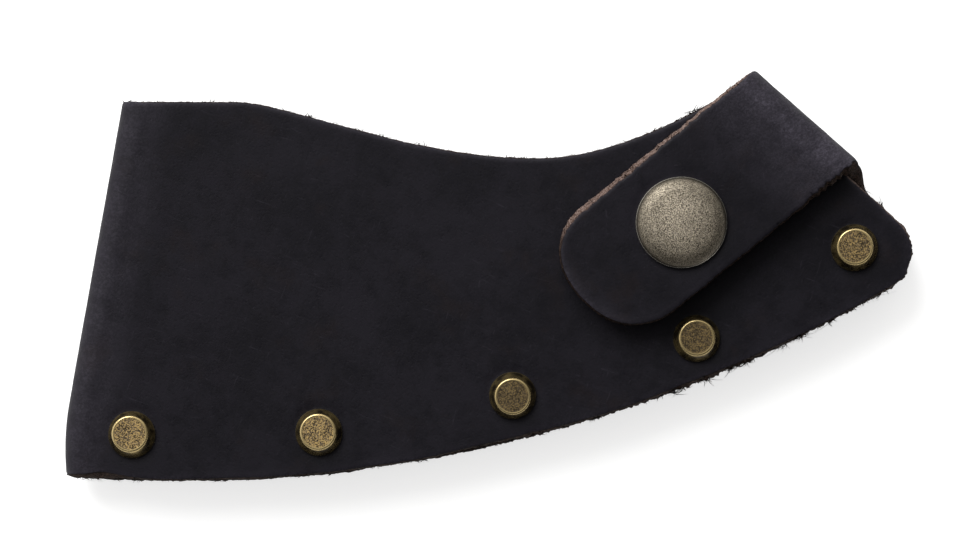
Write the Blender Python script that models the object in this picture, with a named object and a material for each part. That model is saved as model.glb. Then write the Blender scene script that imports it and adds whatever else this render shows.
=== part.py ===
"""Leather mask for the bit of a felling axe.

One leather blank is folded along its left side round a leather welt, riveted along its curved edge, and
closed by a strap that is part of the blank: it bends up round the front panel and snaps down on it.

The mask lies on its back. +X runs from the fold to the toe, +Y out of the mouth, +Z up through the front
panel. Sizes are millimetres here; write_mesh turns them into metres.
"""

import math

import bmesh
import bpy
from mathutils import Vector

MM = 0.001

# Leather and the clearance between pieces that touch
LEATHER = 2.6
HALF = LEATHER / 2
CLEARANCE = 0.3

# Layers, from the table up. The belly of the back panel rests on the table, its riveted margin above it.
MARGIN_HEIGHT = 2.0
BELLY_MID = HALF
ROOT_MID = MARGIN_HEIGHT + HALF
WELT_BOTTOM = MARGIN_HEIGHT + LEATHER + CLEARANCE
FRONT_BOTTOM = WELT_BOTTOM + LEATHER + CLEARANCE
FRONT_MID = FRONT_BOTTOM + HALF
FRONT_TOP = FRONT_BOTTOM + LEATHER

# Left fold: its outermost line runs from the heel towards the mouth, and is pinched in at the heel
FOLD_START = Vector((-71.9, -33.1))
FOLD_LEAN_DEG = 10.1
FOLD_PINCH = 1.7
FOLD_PINCH_REACH = 12.0
FOLD_RADIUS = 2.3
FOLD_OUTER = FOLD_RADIUS + HALF
FOLD_ALONG = Vector((math.sin(math.radians(FOLD_LEAN_DEG)), math.cos(math.radians(FOLD_LEAN_DEG))))
FOLD_ACROSS = Vector((FOLD_ALONG.y, -FOLD_ALONG.x))
FOLD_CORNER = FOLD_RADIUS * math.pi / 2
FOLD_WALL = FRONT_MID - BELLY_MID - 2 * FOLD_RADIUS
FOLD_LENGTH = 2 * FOLD_CORNER + FOLD_WALL

# Riveted edge: an arc as flat as the blade's edge
EDGE_CENTRE = Vector((-51.1, 197.6))
EDGE_RADIUS = 231.7
EDGE_STEPS = 26
WELT_WIDTH = 12.5
WELT_HEEL_X = -67.3
WELT_HEEL_SLANT = 1.0
WELT_TOE_X = 60.5
WELT_SIDE_U = 41.8
BELLY_BLEND = 12.0

# Toe: a blunt end between the riveted edge and the strap's side
TOE_HEEL = Vector((68.9, -0.3))
TOE_LEAN_DEG = 72.5
TOE_ALONG = Vector((math.cos(math.radians(TOE_LEAN_DEG)), math.sin(math.radians(TOE_LEAN_DEG))))
TOE_LEAD = 1.8
TOE_RADIUS = 6.0
TOE_HEEL_RADIUS = 1.0
HIDDEN_CORNER_RADIUS = 4.0

# Mouth: level at the fold, then one long dip
MOUTH_LEVEL = 28.5
MOUTH_LEVEL_END = -42.4
MOUTH_LOW = Vector((7.6, 19.2))
MOUTH_END = Vector((35.4, 27.6))
MOUTH_END_DEG = 26.0
MOUTH_LEAD = Vector((math.cos(math.radians(MOUTH_END_DEG)), math.sin(math.radians(MOUTH_END_DEG))))
MOUTH_HANDLES = (6.5, 12.0, 21.0, 9.5)

# Strap: u runs along its fold line and n away from the mask, both in the table's plane
STRAP_DEG = -41.5
STRAP_U = Vector((math.cos(math.radians(STRAP_DEG)), math.sin(math.radians(STRAP_DEG))))
STRAP_N = Vector((-STRAP_U.y, STRAP_U.x))
STRAP_OUTERMOST = 54.4
STRAP_RADIUS = 2.8
STRAP_SKEW = 0.172
FLAP_STANDOFF = 2.6
SIDE_N = STRAP_OUTERMOST - LEATHER - CLEARANCE
BEND_N = STRAP_OUTERMOST - STRAP_RADIUS - HALF
FLAP_MID = FRONT_TOP + FLAP_STANDOFF + HALF
FLAP_TOP = FLAP_MID + HALF
STRAP_CORNER = STRAP_RADIUS * math.pi / 2
STRAP_WALL = FLAP_MID - ROOT_MID - 2 * STRAP_RADIUS
FLAP_START_S = BEND_N + 2 * STRAP_CORNER + STRAP_WALL
FLAP_LEFT_U = 9.4
FLAP_RIGHT_U = 32.65
ROOT_FILLET = 5.0
ROOT_STEPS = 3
INNER_RADIUS = 3.0
ROOT_BLEND_N = 36.0
ROOT_BLEND = 8.0

# Rounded tip of the flap: a superellipse on each side of its furthest point
TIP_N = 7.0
TIP_U = 15.4
TIP_LEFT = (11.5, 2.0)
TIP_RIGHT = (9.5, 2.4)
TIP_STEPS = 14
TIP_LAST_DEG = 86

# Each bend of the strap is a hinge: its two halves part along a radial slit
SLIT_HALF_DEG = 3.5
HALF_CORNER_STEPS = 4
GRID = 5.0

# Rivets: two caps on a tube and a post
RIVET_CENTRES = ((-59.0, -26.4), (-28.1, -26.0), (3.9, -19.9), (34.3, -10.5), (60.4, 4.5))
RIVET_RADIUS = 3.85
RIVET_TOP_RADIUS = 2.95
RIVET_FRONT_HEIGHT = 1.9
RIVET_BACK_HEIGHT = 1.5
RIVET_TUBE_RADIUS = 1.4
RIVET_BORE_RADIUS = 0.95
RIVET_POST_RADIUS = 0.65
RIVET_HOLE_RADIUS = RIVET_TUBE_RADIUS + CLEARANCE
RIVET_BORE_END = FRONT_TOP - CLEARANCE
RIVET_SEGMENTS = 28
# A cap's side: distance in from its radius, and share of its height
RIVET_RIM = ((0.15, 0.0), (0.0, 0.15), (0.05, 0.25))
RIVET_TOP_RIM = (0.12, 0.9)

# Snap fastener: cap, socket and spring on the flap, stud and eyelet on the front panel
SNAP_CENTRE = (31.5, 8.6)
CAP_RADIUS = 7.5
CAP_HEIGHT = 2.3
CAP_POST_RADIUS = 1.7
CAP_SEGMENTS = 40
# The cap's rim: distance in from its radius, and height above its base. The dome goes by radius share.
CAP_RIM = ((0.6, 0.0), (0.15, 0.3), (0.0, 0.8), (0.2, 1.3))
CAP_RIM_HEIGHT = 1.6
CAP_DOME = (0.93, 0.8, 0.6, 0.4, 0.2)
SNAP_HOLE_RADIUS = CAP_POST_RADIUS + CLEARANCE
FLAP_UNDERSIDE = FLAP_TOP - LEATHER
SOCKET_SEAT_DEPTH = 0.8
SOCKET_TOP = FLAP_UNDERSIDE + SOCKET_SEAT_DEPTH - CLEARANCE
SOCKET_FLANGE_RADIUS = 6.3
SOCKET_FLANGE = 0.4
SOCKET_CEILING = SOCKET_TOP - 0.55
SOCKET_RADIUS = 4.7
SOCKET_CAVITY_RADIUS = 3.6
SOCKET_MOUTH = FRONT_TOP + 1.15
SOCKET_LIP_RADIUS = 2.6
SOCKET_LIP = 0.4
SPRING_WIRE = 0.6
SPRING_RADIUS = 2.6
SPRING_OPEN_DEG = 50.0
SPRING_HEIGHT = FRONT_TOP + 1.95
SPRING_STEPS = 22
SPRING_SIDES = 8
STUD_BORE_RADIUS = 1.2
STUD_BORE_DEPTH = 1.5
# The stud from its flange to the top of its head: radius, and height above its base
STUD_PROFILE = ((5.2, 0.0), (5.2, 0.3), (4.9, 0.5), (1.8, 0.5), (1.8, 0.9), (2.1, 1.1), (2.1, 1.4),
                (1.89, 1.65), (1.26, 1.87), (0.0, 1.95))
STUD_SEGMENTS = 28
EYELET_FLANGE_RADIUS = 4.5
EYELET_FLANGE = 0.4
EYELET_CHAMFER = 0.2
EYELET_PIN_RADIUS = 0.9
EYELET_PIN_REACH = 1.2

# Making: how far cutters run past a face, their sides, and how sharp an edge stays sharp in shading
CUT_PAST = 2.0
HOLE_SEGMENTS = 24
SHARP_DEG = 35

LEATHER_BLACK = (0.016, 0.015, 0.019, 1.0)
LEATHER_BROWN = (0.045, 0.022, 0.014, 1.0)
ANTIQUE_BRASS = (0.36, 0.25, 0.12, 1.0)
ANTIQUE_NICKEL = (0.42, 0.37, 0.28, 1.0)
SPRING_STEEL = (0.45, 0.45, 0.46, 1.0)


# ---------------------------------------------------------------- helpers

def clear_scene():
    for item in list(bpy.data.objects):
        bpy.data.objects.remove(item, do_unlink=True)


def smooth_step(value):
    value = min(max(value, 0.0), 1.0)
    return value * value * (3 - 2 * value)


def material(name, colour, roughness, metallic):
    result = bpy.data.materials.new(name)
    result.use_nodes = True
    shader = result.node_tree.nodes["Principled BSDF"]
    shader.inputs["Base Color"].default_value = colour
    shader.inputs["Roughness"].default_value = roughness
    shader.inputs["Metallic"].default_value = metallic
    result.diffuse_color = colour
    return result


def write_mesh(name, bm, look, smooth=False):
    """Object whose mesh is bm, scaled to metres."""
    for vert in bm.verts:
        vert.co = vert.co * MM
    bmesh.ops.recalc_face_normals(bm, faces=bm.faces)
    mesh = bpy.data.meshes.new(name)
    bm.to_mesh(mesh)
    bm.free()
    if smooth:
        mesh.shade_smooth()
        mesh.set_sharp_from_angle(angle=math.radians(SHARP_DEG))
    mesh.materials.append(look)
    result = bpy.data.objects.new(name, mesh)
    bpy.context.scene.collection.objects.link(result)
    return result


def put_origin(item, point, parent=None, parent_point=(0, 0, 0)):
    """Moves an object's origin to a point on its joint's axis, and leaves its shape where it is."""
    offset = Vector(point) * MM
    for vert in item.data.vertices:
        vert.co = vert.co - offset
    item.parent = parent
    item.location = offset - Vector(parent_point) * MM


def cut(item, cutter):
    modifier = item.modifiers.new("cut_" + cutter.name, "BOOLEAN")
    modifier.operation = "DIFFERENCE"
    modifier.solver = "EXACT"
    modifier.object = cutter


def prism(outline, bottom, top):
    bm = bmesh.new()
    verts = [bm.verts.new((x, y, bottom)) for x, y in outline]
    face = bm.faces.new(verts)
    extruded = bmesh.ops.extrude_face_region(bm, geom=[face])
    raised = [part for part in extruded["geom"] if isinstance(part, bmesh.types.BMVert)]
    bmesh.ops.translate(bm, verts=raised, vec=(0, 0, top - bottom))
    return bm


def lathe(profile, centre, segments):
    """Solid turned about a vertical axis: profile is a list of (radius, z), from the axis and back to it."""
    bm = bmesh.new()
    rings = []
    for radius, z in profile:
        steps = segments if radius > 0 else 1
        turns = [2 * math.pi * step / steps for step in range(steps)]
        rings.append([
            bm.verts.new((centre[0] + radius * math.cos(turn), centre[1] + radius * math.sin(turn), z))
            for turn in turns
        ])
    if profile[0][0] > 0:
        rings.append(rings[0])
    for lower, upper in zip(rings, rings[1:]):
        for step in range(segments):
            after = (step + 1) % segments
            corners = [lower[step % len(lower)], lower[after % len(lower)],
                       upper[after % len(upper)], upper[step % len(upper)]]
            bm.faces.new(list(dict.fromkeys(corners)))
    return bm


def hole_cutter(name, places, bottom, top):
    """Hidden cutter: one upright cylinder for each (centre, radius)."""
    bm = bmesh.new()
    for centre, radius in places:
        ring = bmesh.ops.create_cone(
            bm, cap_ends=True, segments=HOLE_SEGMENTS, radius1=radius, radius2=radius, depth=top - bottom)
        bmesh.ops.translate(bm, verts=ring["verts"], vec=(centre[0], centre[1], (top + bottom) / 2))
    result = write_mesh(name, bm, material(name, ANTIQUE_BRASS, 0.5, 0.0))
    result.hide_render = True
    result.display_type = "WIRE"
    return result


# ---------------------------------------------------------------- outlines

def arc_points(centre, radius, start, end, steps):
    turns = [start + (end - start) * step / steps for step in range(steps + 1)]
    return [Vector((centre[0] + radius * math.cos(turn), centre[1] + radius * math.sin(turn)))
            for turn in turns]


def bezier_points(first, second, third, fourth, steps):
    points = []
    for step in range(steps + 1):
        t = step / steps
        s = 1 - t
        points.append(s**3 * first + 3 * s * s * t * second + 3 * s * t * t * third + t**3 * fourth)
    return points


def rounded(before, corner, after, radius, steps=6):
    """Arc of a radius that replaces a corner between two straight stretches."""
    towards = (before - corner).normalized()
    onwards = (after - corner).normalized()
    half_angle = towards.angle(onwards) / 2
    reach = radius / math.tan(half_angle)
    centre = corner + (towards + onwards).normalized() * radius / math.sin(half_angle)
    start = corner + towards * reach - centre
    end = corner + onwards * reach - centre
    sweep = start.angle_signed(end)
    points = []
    for step in range(steps + 1):
        turn = math.atan2(start.y, start.x) - sweep * step / steps
        points.append(centre + radius * Vector((math.cos(turn), math.sin(turn))))
    return points


def strap_plan(u, n):
    return STRAP_U * u + STRAP_N * n


def edge_point(x):
    """Point of the riveted edge below x."""
    return Vector((x, EDGE_CENTRE.y - math.sqrt(EDGE_RADIUS**2 - (x - EDGE_CENTRE.x)**2)))


def edge_distance(point):
    return EDGE_RADIUS - (point - EDGE_CENTRE).length


def edge_arc(inset, first_x, last_x, steps):
    """Points along the riveted edge, or along a line inset from it."""
    radius = EDGE_RADIUS - inset
    start = -math.acos((first_x - EDGE_CENTRE.x) / radius)
    end = -math.acos((last_x - EDGE_CENTRE.x) / radius)
    return arc_points(EDGE_CENTRE, radius, start, end, steps)


def meets_side(point, direction):
    """Where a line from a point reaches the side that lies along the strap's fold line."""
    return point + direction * ((SIDE_N - point.dot(STRAP_N)) / direction.dot(STRAP_N))


def toe_points():
    """Round the toe: from the riveted edge to the side that lies along the strap's fold line."""
    corner = meets_side(TOE_HEEL, TOE_ALONG)
    before = edge_point(TOE_HEEL.x - TOE_RADIUS)
    heel = rounded(before, TOE_HEEL, corner, TOE_HEEL_RADIUS, 3)
    return heel + rounded(TOE_HEEL, corner, corner - STRAP_U, TOE_RADIUS, 8)


def mouth_points():
    """From the strap's end of the mouth back to the fold."""
    near_end, rising, dipping, near_level = MOUTH_HANDLES
    level = Vector((MOUTH_LEVEL_END, MOUTH_LEVEL))
    rise = bezier_points(MOUTH_END, MOUTH_END - MOUTH_LEAD * near_end,
                         MOUTH_LOW + Vector((rising, 0)), MOUTH_LOW, 10)
    dip = bezier_points(MOUTH_LOW, MOUTH_LOW - Vector((dipping, 0)),
                        level + Vector((near_level, 0)), level, 12)
    return rise + dip[1:]


def fold_plan(across, along):
    pinch = FOLD_PINCH * max(0.0, 1 - along / FOLD_PINCH_REACH)**2 * max(0.0, 1 - across / FOLD_PINCH_REACH)
    return FOLD_START + FOLD_ACROSS * (across + pinch) + FOLD_ALONG * along


def fold_top(across):
    """Place along the fold's lean that is level with the mouth."""
    return (MOUTH_LEVEL - FOLD_START.y - across * FOLD_ACROSS.y) / FOLD_ALONG.y


def lower_edge(first_x):
    """Riveted edge and toe, from first_x round to the side that lies along the strap's fold line."""
    return edge_arc(0, first_x, TOE_HEEL.x - TOE_LEAD, EDGE_STEPS) + toe_points()


def heel_x():
    """Where the riveted edge meets the fold's bend."""
    return FOLD_START.x + FOLD_PINCH + FOLD_OUTER


def front_outline():
    """Front panel, anticlockwise from the heel to the top of the fold."""
    corner = meets_side(MOUTH_END, MOUTH_LEAD)
    hidden = rounded(corner + STRAP_U, corner, MOUTH_END, HIDDEN_CORNER_RADIUS)
    return lower_edge(heel_x()) + hidden + mouth_points() + [fold_plan(FOLD_OUTER, fold_top(FOLD_OUTER))]


def right_side(s):
    """Right side of the strap at s along it, with the fillet at its root."""
    skewed = FLAP_RIGHT_U + STRAP_SKEW * (FLAP_START_S - s)
    fillet_end = SIDE_N + ROOT_FILLET
    if s >= fillet_end:
        return skewed
    return skewed + ROOT_FILLET - math.sqrt(ROOT_FILLET**2 - (fillet_end - s)**2)


def left_side(s):
    return FLAP_LEFT_U + STRAP_SKEW * (FLAP_START_S - s)


def back_outline(root_end):
    """Back panel and the root of the strap, laid flat, anticlockwise from the heel to the top of the fold."""
    steps = [SIDE_N + (root_end - SIDE_N) * step / ROOT_STEPS for step in range(ROOT_STEPS + 1)]
    right = [strap_plan(right_side(s), s) for s in steps]
    left = strap_plan(left_side(root_end), root_end)
    inner_n = SIDE_N - INNER_RADIUS
    inner = strap_plan(left_side(inner_n), inner_n)
    return (lower_edge(heel_x()) + right + [left] + rounded(left, inner, MOUTH_END, INNER_RADIUS)
            + mouth_points() + [fold_plan(FOLD_OUTER, fold_top(FOLD_OUTER))])


# ---------------------------------------------------------------- bending

def strap_point(u, s, h):
    """Point of the strap: u across it, s along it from the mask, h from mid-leather to its outer face."""
    lower_end = BEND_N + STRAP_CORNER
    upper_start = lower_end + STRAP_WALL
    radius = STRAP_RADIUS + h
    if s <= BEND_N:
        n, z = s, ROOT_MID - h
    elif s <= lower_end:
        turn = (s - BEND_N) / STRAP_RADIUS
        n, z = BEND_N + radius * math.sin(turn), ROOT_MID + STRAP_RADIUS - radius * math.cos(turn)
    elif s <= upper_start:
        n, z = BEND_N + radius, ROOT_MID + STRAP_RADIUS + s - lower_end
    elif s <= FLAP_START_S:
        turn = (s - upper_start) / STRAP_RADIUS
        n, z = BEND_N + radius * math.cos(turn), FLAP_MID - STRAP_RADIUS + radius * math.sin(turn)
    else:
        n, z = BEND_N - (s - FLAP_START_S), FLAP_MID + h
    place = strap_plan(u, n)
    return Vector((place.x, place.y, z))


def margin_share(place):
    """1 on the riveted margin and round the strap's root, 0 on the belly of the back panel."""
    edge = 1 - smooth_step((edge_distance(place) - WELT_WIDTH) / BELLY_BLEND)
    root = smooth_step((place.dot(STRAP_N) - ROOT_BLEND_N) / ROOT_BLEND)
    return 1 - (1 - edge) * (1 - root)


def folded_point(c, along, h):
    """Point of the folded blank: c across the fold from front to back, h from mid-leather outwards."""
    radius = FOLD_RADIUS + h
    wall_start = FOLD_CORNER
    wall_end = FOLD_CORNER + FOLD_WALL
    if c <= 0:
        across, z = FOLD_OUTER - c, FRONT_MID + h
    elif c <= wall_start:
        turn = c / FOLD_RADIUS
        across, z = FOLD_OUTER - radius * math.sin(turn), FRONT_MID - FOLD_RADIUS + radius * math.cos(turn)
    elif c <= wall_end:
        across, z = FOLD_OUTER - radius, FRONT_MID - FOLD_RADIUS - (c - wall_start)
    elif c <= FOLD_LENGTH:
        turn = (c - wall_end) / FOLD_RADIUS
        across, z = FOLD_OUTER - radius * math.cos(turn), BELLY_MID + FOLD_RADIUS - radius * math.sin(turn)
    else:
        across, z = FOLD_OUTER + c - FOLD_LENGTH, BELLY_MID - h
    place = fold_plan(across, along)
    if c > FOLD_LENGTH and place.dot(STRAP_N) > BEND_N:
        return strap_point(place.dot(STRAP_U), place.dot(STRAP_N), h)
    lowered = min(max((c - wall_start) / FOLD_WALL, 0.0), 1.0)
    return Vector((place.x, place.y, z + MARGIN_HEIGHT * margin_share(place) * lowered))


def grid_lines(first, last):
    """Places between first and last, a grid's spacing apart."""
    return [first + GRID * step for step in range(1, math.ceil((last - first) / GRID))]


def slice_flat(bm, place, normal, lowest_c=-math.inf):
    """Adds an edge loop where a plane crosses the part of the flat blank beyond lowest_c."""
    faces = [face for face in bm.faces if face.calc_center_median().x > lowest_c]
    edges = {edge for face in faces for edge in face.edges}
    verts = {vert for face in faces for vert in face.verts}
    bmesh.ops.bisect_plane(bm, geom=list(verts) + list(edges) + faces, dist=1e-6,
                           plane_co=place, plane_no=normal)


def flat_place(plan):
    """Place of a point of the back panel on the flat blank, as (c, along)."""
    offset = plan - FOLD_START
    return FOLD_LENGTH + offset.dot(FOLD_ACROSS) - FOLD_OUTER, offset.dot(FOLD_ALONG)


def blank_outline(root_end):
    """The whole blank laid flat, as points (c, along)."""
    back = [flat_place(point) for point in back_outline(root_end)]
    front = [flat_place(point) for point in reversed(front_outline())]
    mirrored = [(FOLD_LENGTH - c, along) for c, along in front]
    middle = FOLD_LENGTH / 2
    return back + [(middle, fold_top(0))] + mirrored + [(middle, 0.0)]


def make_leather_body(look):
    root_end = BEND_N + STRAP_RADIUS * math.radians(45 - SLIT_HALF_DEG)
    bm = prism(blank_outline(root_end), -HALF, HALF)
    for step in range(HALF_CORNER_STEPS + 1):
        bend = FOLD_CORNER * step / HALF_CORNER_STEPS
        slice_flat(bm, (bend, 0, 0), (1, 0, 0))
        slice_flat(bm, (FOLD_LENGTH - bend, 0, 0), (1, 0, 0))
    for along in grid_lines(-GRID / 2, fold_top(0)):
        slice_flat(bm, (0, along, 0), (0, 1, 0), 0.0)
    toe_c, _ = flat_place(meets_side(TOE_HEEL, TOE_ALONG))
    for c in grid_lines(FOLD_LENGTH, toe_c):
        slice_flat(bm, (c, 0, 0), (1, 0, 0), 0.0)
    bend_normal = (STRAP_N.dot(FOLD_ACROSS), STRAP_N.dot(FOLD_ALONG), 0)
    for step in range(HALF_CORNER_STEPS):
        place = strap_plan(0, BEND_N + (root_end - BEND_N) * step / HALF_CORNER_STEPS)
        slice_flat(bm, (*flat_place(place), 0), bend_normal, FOLD_LENGTH)
    for vert in bm.verts:
        vert.co = folded_point(*vert.co)
    bmesh.ops.triangulate(bm, faces=bm.faces)
    return write_mesh("leather_body", bm, look)


# ---------------------------------------------------------------- leather pieces

def make_edge_welt(look):
    """Filler strip between the panels: it keeps the blade's edge off the rivets."""
    side = strap_plan(WELT_SIDE_U, SIDE_N)
    inner = edge_arc(WELT_WIDTH, WELT_HEEL_X + WELT_HEEL_SLANT, WELT_TOE_X, EDGE_STEPS)
    outline = lower_edge(WELT_HEEL_X) + [side] + list(reversed(inner))
    return write_mesh("edge_welt", prism(outline, WELT_BOTTOM, WELT_BOTTOM + LEATHER), look)


def strap_strip(name, stations, look):
    """Strip of leather lofted through stations, each a place along the strap and its left and right side."""
    bm = bmesh.new()
    rings = []
    for s, left, right in stations:
        corners = ((left, -HALF), (right, -HALF), (right, HALF), (left, HALF))
        rings.append([bm.verts.new(strap_point(u, s, h)) for u, h in corners])
    for near, far in zip(rings, rings[1:]):
        for side in range(4):
            after = (side + 1) % 4
            bm.faces.new((near[side], near[after], far[after], far[side]))
    bm.faces.new(rings[0])
    bm.faces.new(list(reversed(rings[-1])))
    return write_mesh(name, bm, look)


def bend_stations(start_s, first_deg, last_deg):
    """Stations round half of a bend that starts at start_s."""
    result = []
    for step in range(HALF_CORNER_STEPS + 1):
        turn = math.radians(first_deg + (last_deg - first_deg) * step / HALF_CORNER_STEPS)
        s = start_s + STRAP_RADIUS * turn
        result.append((s, left_side(s), right_side(s)))
    return result


def make_strap_bend(look):
    upper = BEND_N + STRAP_CORNER + STRAP_WALL
    stations = bend_stations(BEND_N, 45 + SLIT_HALF_DEG, 90)
    stations += bend_stations(upper, 0, 45 - SLIT_HALF_DEG)
    return strap_strip("strap_bend", stations, look)


def tip_share(to_tip, shape):
    """How far a side still stands out from the tip's middle, at a distance from the tip."""
    depth, power = shape
    rise = max(1 - to_tip / depth, 0.0)
    return (1 - rise**power) ** (1 / power)


def flap_stations():
    """Stations from the end of the bend to the rounded tip, closer together towards it."""
    tip_s = FLAP_START_S + BEND_N - TIP_N
    result = []
    for step in range(TIP_STEPS + 1):
        to_tip = TIP_LEFT[0] * (1 - math.sin(math.radians(TIP_LAST_DEG) * step / TIP_STEPS))
        s = tip_s - to_tip
        left = TIP_U + (left_side(s) - TIP_U) * tip_share(to_tip, TIP_LEFT)
        right = TIP_U + (right_side(s) - TIP_U) * tip_share(to_tip, TIP_RIGHT)
        result.append((s, left, right))
    return result


def make_strap_flap(look):
    upper = BEND_N + STRAP_CORNER + STRAP_WALL
    stations = bend_stations(upper, 45 + SLIT_HALF_DEG, 90)
    return strap_strip("strap_flap", stations + flap_stations(), look)


# ---------------------------------------------------------------- rivets

def rivet_cap(base, rise):
    """Flat-topped cap's profile, from its base; rise is negative for a cap that faces down."""
    side = [(RIVET_RADIUS - inset, base + share * rise) for inset, share in RIVET_RIM]
    inset, share = RIVET_TOP_RIM
    return side + [(RIVET_TOP_RADIUS + inset, base + share * rise), (RIVET_TOP_RADIUS, base + rise),
                   (0, base + rise)]


def make_rivet_front(index, centre, look):
    base = FRONT_TOP + CLEARANCE
    tube_end = MARGIN_HEIGHT + CLEARANCE
    profile = [(0, RIVET_BORE_END), (RIVET_BORE_RADIUS, RIVET_BORE_END), (RIVET_BORE_RADIUS, tube_end),
               (RIVET_TUBE_RADIUS, tube_end), (RIVET_TUBE_RADIUS, base)]
    profile += rivet_cap(base, RIVET_FRONT_HEIGHT)
    return write_mesh(f"rivet_front_{index}", lathe(profile, centre, RIVET_SEGMENTS), look, smooth=True)


def make_rivet_back(index, centre, look):
    base = MARGIN_HEIGHT - CLEARANCE
    post_end = RIVET_BORE_END - CLEARANCE
    profile = [(0, post_end), (RIVET_POST_RADIUS, post_end), (RIVET_POST_RADIUS, base)]
    profile += rivet_cap(base, -RIVET_BACK_HEIGHT)
    return write_mesh(f"rivet_back_{index}", lathe(profile, centre, RIVET_SEGMENTS), look, smooth=True)


# ---------------------------------------------------------------- snap fastener

def make_snap_cap(look):
    base = FLAP_TOP + CLEARANCE
    top = base + CAP_HEIGHT
    post_end = SOCKET_CEILING + CLEARANCE / 6
    profile = [(0, post_end), (CAP_POST_RADIUS, post_end), (CAP_POST_RADIUS, base)]
    profile += [(CAP_RADIUS - inset, base + height) for inset, height in CAP_RIM]
    dome_rise = CAP_HEIGHT - CAP_RIM_HEIGHT
    profile += [(CAP_RADIUS * share, top - dome_rise * share**2) for share in CAP_DOME]
    profile.append((0, top))
    return write_mesh("snap_cap", lathe(profile, SNAP_CENTRE, CAP_SEGMENTS), look, smooth=True)


def make_snap_socket(look):
    flange = SOCKET_TOP - SOCKET_FLANGE
    lip = SOCKET_MOUTH + SOCKET_LIP
    profile = [(SNAP_HOLE_RADIUS, SOCKET_TOP), (SNAP_HOLE_RADIUS, SOCKET_CEILING),
               (SOCKET_CAVITY_RADIUS, SOCKET_CEILING), (SOCKET_CAVITY_RADIUS, lip),
               (SOCKET_LIP_RADIUS, lip), (SOCKET_LIP_RADIUS, SOCKET_MOUTH),
               (SOCKET_RADIUS - SOCKET_LIP, SOCKET_MOUTH), (SOCKET_RADIUS, lip),
               (SOCKET_RADIUS, flange), (SOCKET_FLANGE_RADIUS, flange), (SOCKET_FLANGE_RADIUS, SOCKET_TOP)]
    return write_mesh("snap_socket", lathe(profile, SNAP_CENTRE, STUD_SEGMENTS), look, smooth=True)


def make_snap_spring(look):
    """Open wire ring that grips the stud, loose in the socket."""
    sweep = math.radians(360 - SPRING_OPEN_DEG)
    bm = bmesh.new()
    rings = []
    for step in range(SPRING_STEPS + 1):
        turn = sweep * step / SPRING_STEPS
        ring = []
        for side in range(SPRING_SIDES):
            around = 2 * math.pi * side / SPRING_SIDES
            radius = SPRING_RADIUS + SPRING_WIRE / 2 * math.cos(around)
            ring.append(bm.verts.new((SNAP_CENTRE[0] + radius * math.cos(turn),
                                      SNAP_CENTRE[1] + radius * math.sin(turn),
                                      SPRING_HEIGHT + SPRING_WIRE / 2 * math.sin(around))))
        rings.append(ring)
    for near, far in zip(rings, rings[1:]):
        for side in range(SPRING_SIDES):
            after = (side + 1) % SPRING_SIDES
            bm.faces.new((near[side], near[after], far[after], far[side]))
    bm.faces.new(rings[0])
    bm.faces.new(list(reversed(rings[-1])))
    return write_mesh("snap_spring", bm, look, smooth=True)


def make_snap_stud(look):
    base = FRONT_TOP + CLEARANCE
    bore_end = base + STUD_BORE_DEPTH
    profile = [(0, bore_end), (STUD_BORE_RADIUS, bore_end), (STUD_BORE_RADIUS, base)]
    profile += [(radius, base + height) for radius, height in STUD_PROFILE]
    return write_mesh("snap_stud", lathe(profile, SNAP_CENTRE, STUD_SEGMENTS), look, smooth=True)


def make_snap_eyelet(look):
    """Headed pin that holds the stud, from inside the front panel."""
    seat = FRONT_BOTTOM - CLEARANCE
    head = seat - EYELET_FLANGE
    pin_end = FRONT_TOP + CLEARANCE + EYELET_PIN_REACH
    profile = [(0, pin_end), (EYELET_PIN_RADIUS, pin_end), (EYELET_PIN_RADIUS, seat),
               (EYELET_FLANGE_RADIUS, seat), (EYELET_FLANGE_RADIUS - EYELET_CHAMFER, head), (0, head)]
    return write_mesh("snap_eyelet", lathe(profile, SNAP_CENTRE, STUD_SEGMENTS), look, smooth=True)


# ---------------------------------------------------------------- assembly

def hinge_point(upper):
    """Middle of a bend's slit, on the outer face of the leather."""
    s = BEND_N + STRAP_CORNER / 2
    if upper:
        s += STRAP_CORNER + STRAP_WALL
    middle = (left_side(s) + right_side(s)) / 2
    return strap_point(middle, s, HALF + CLEARANCE / 2)


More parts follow.
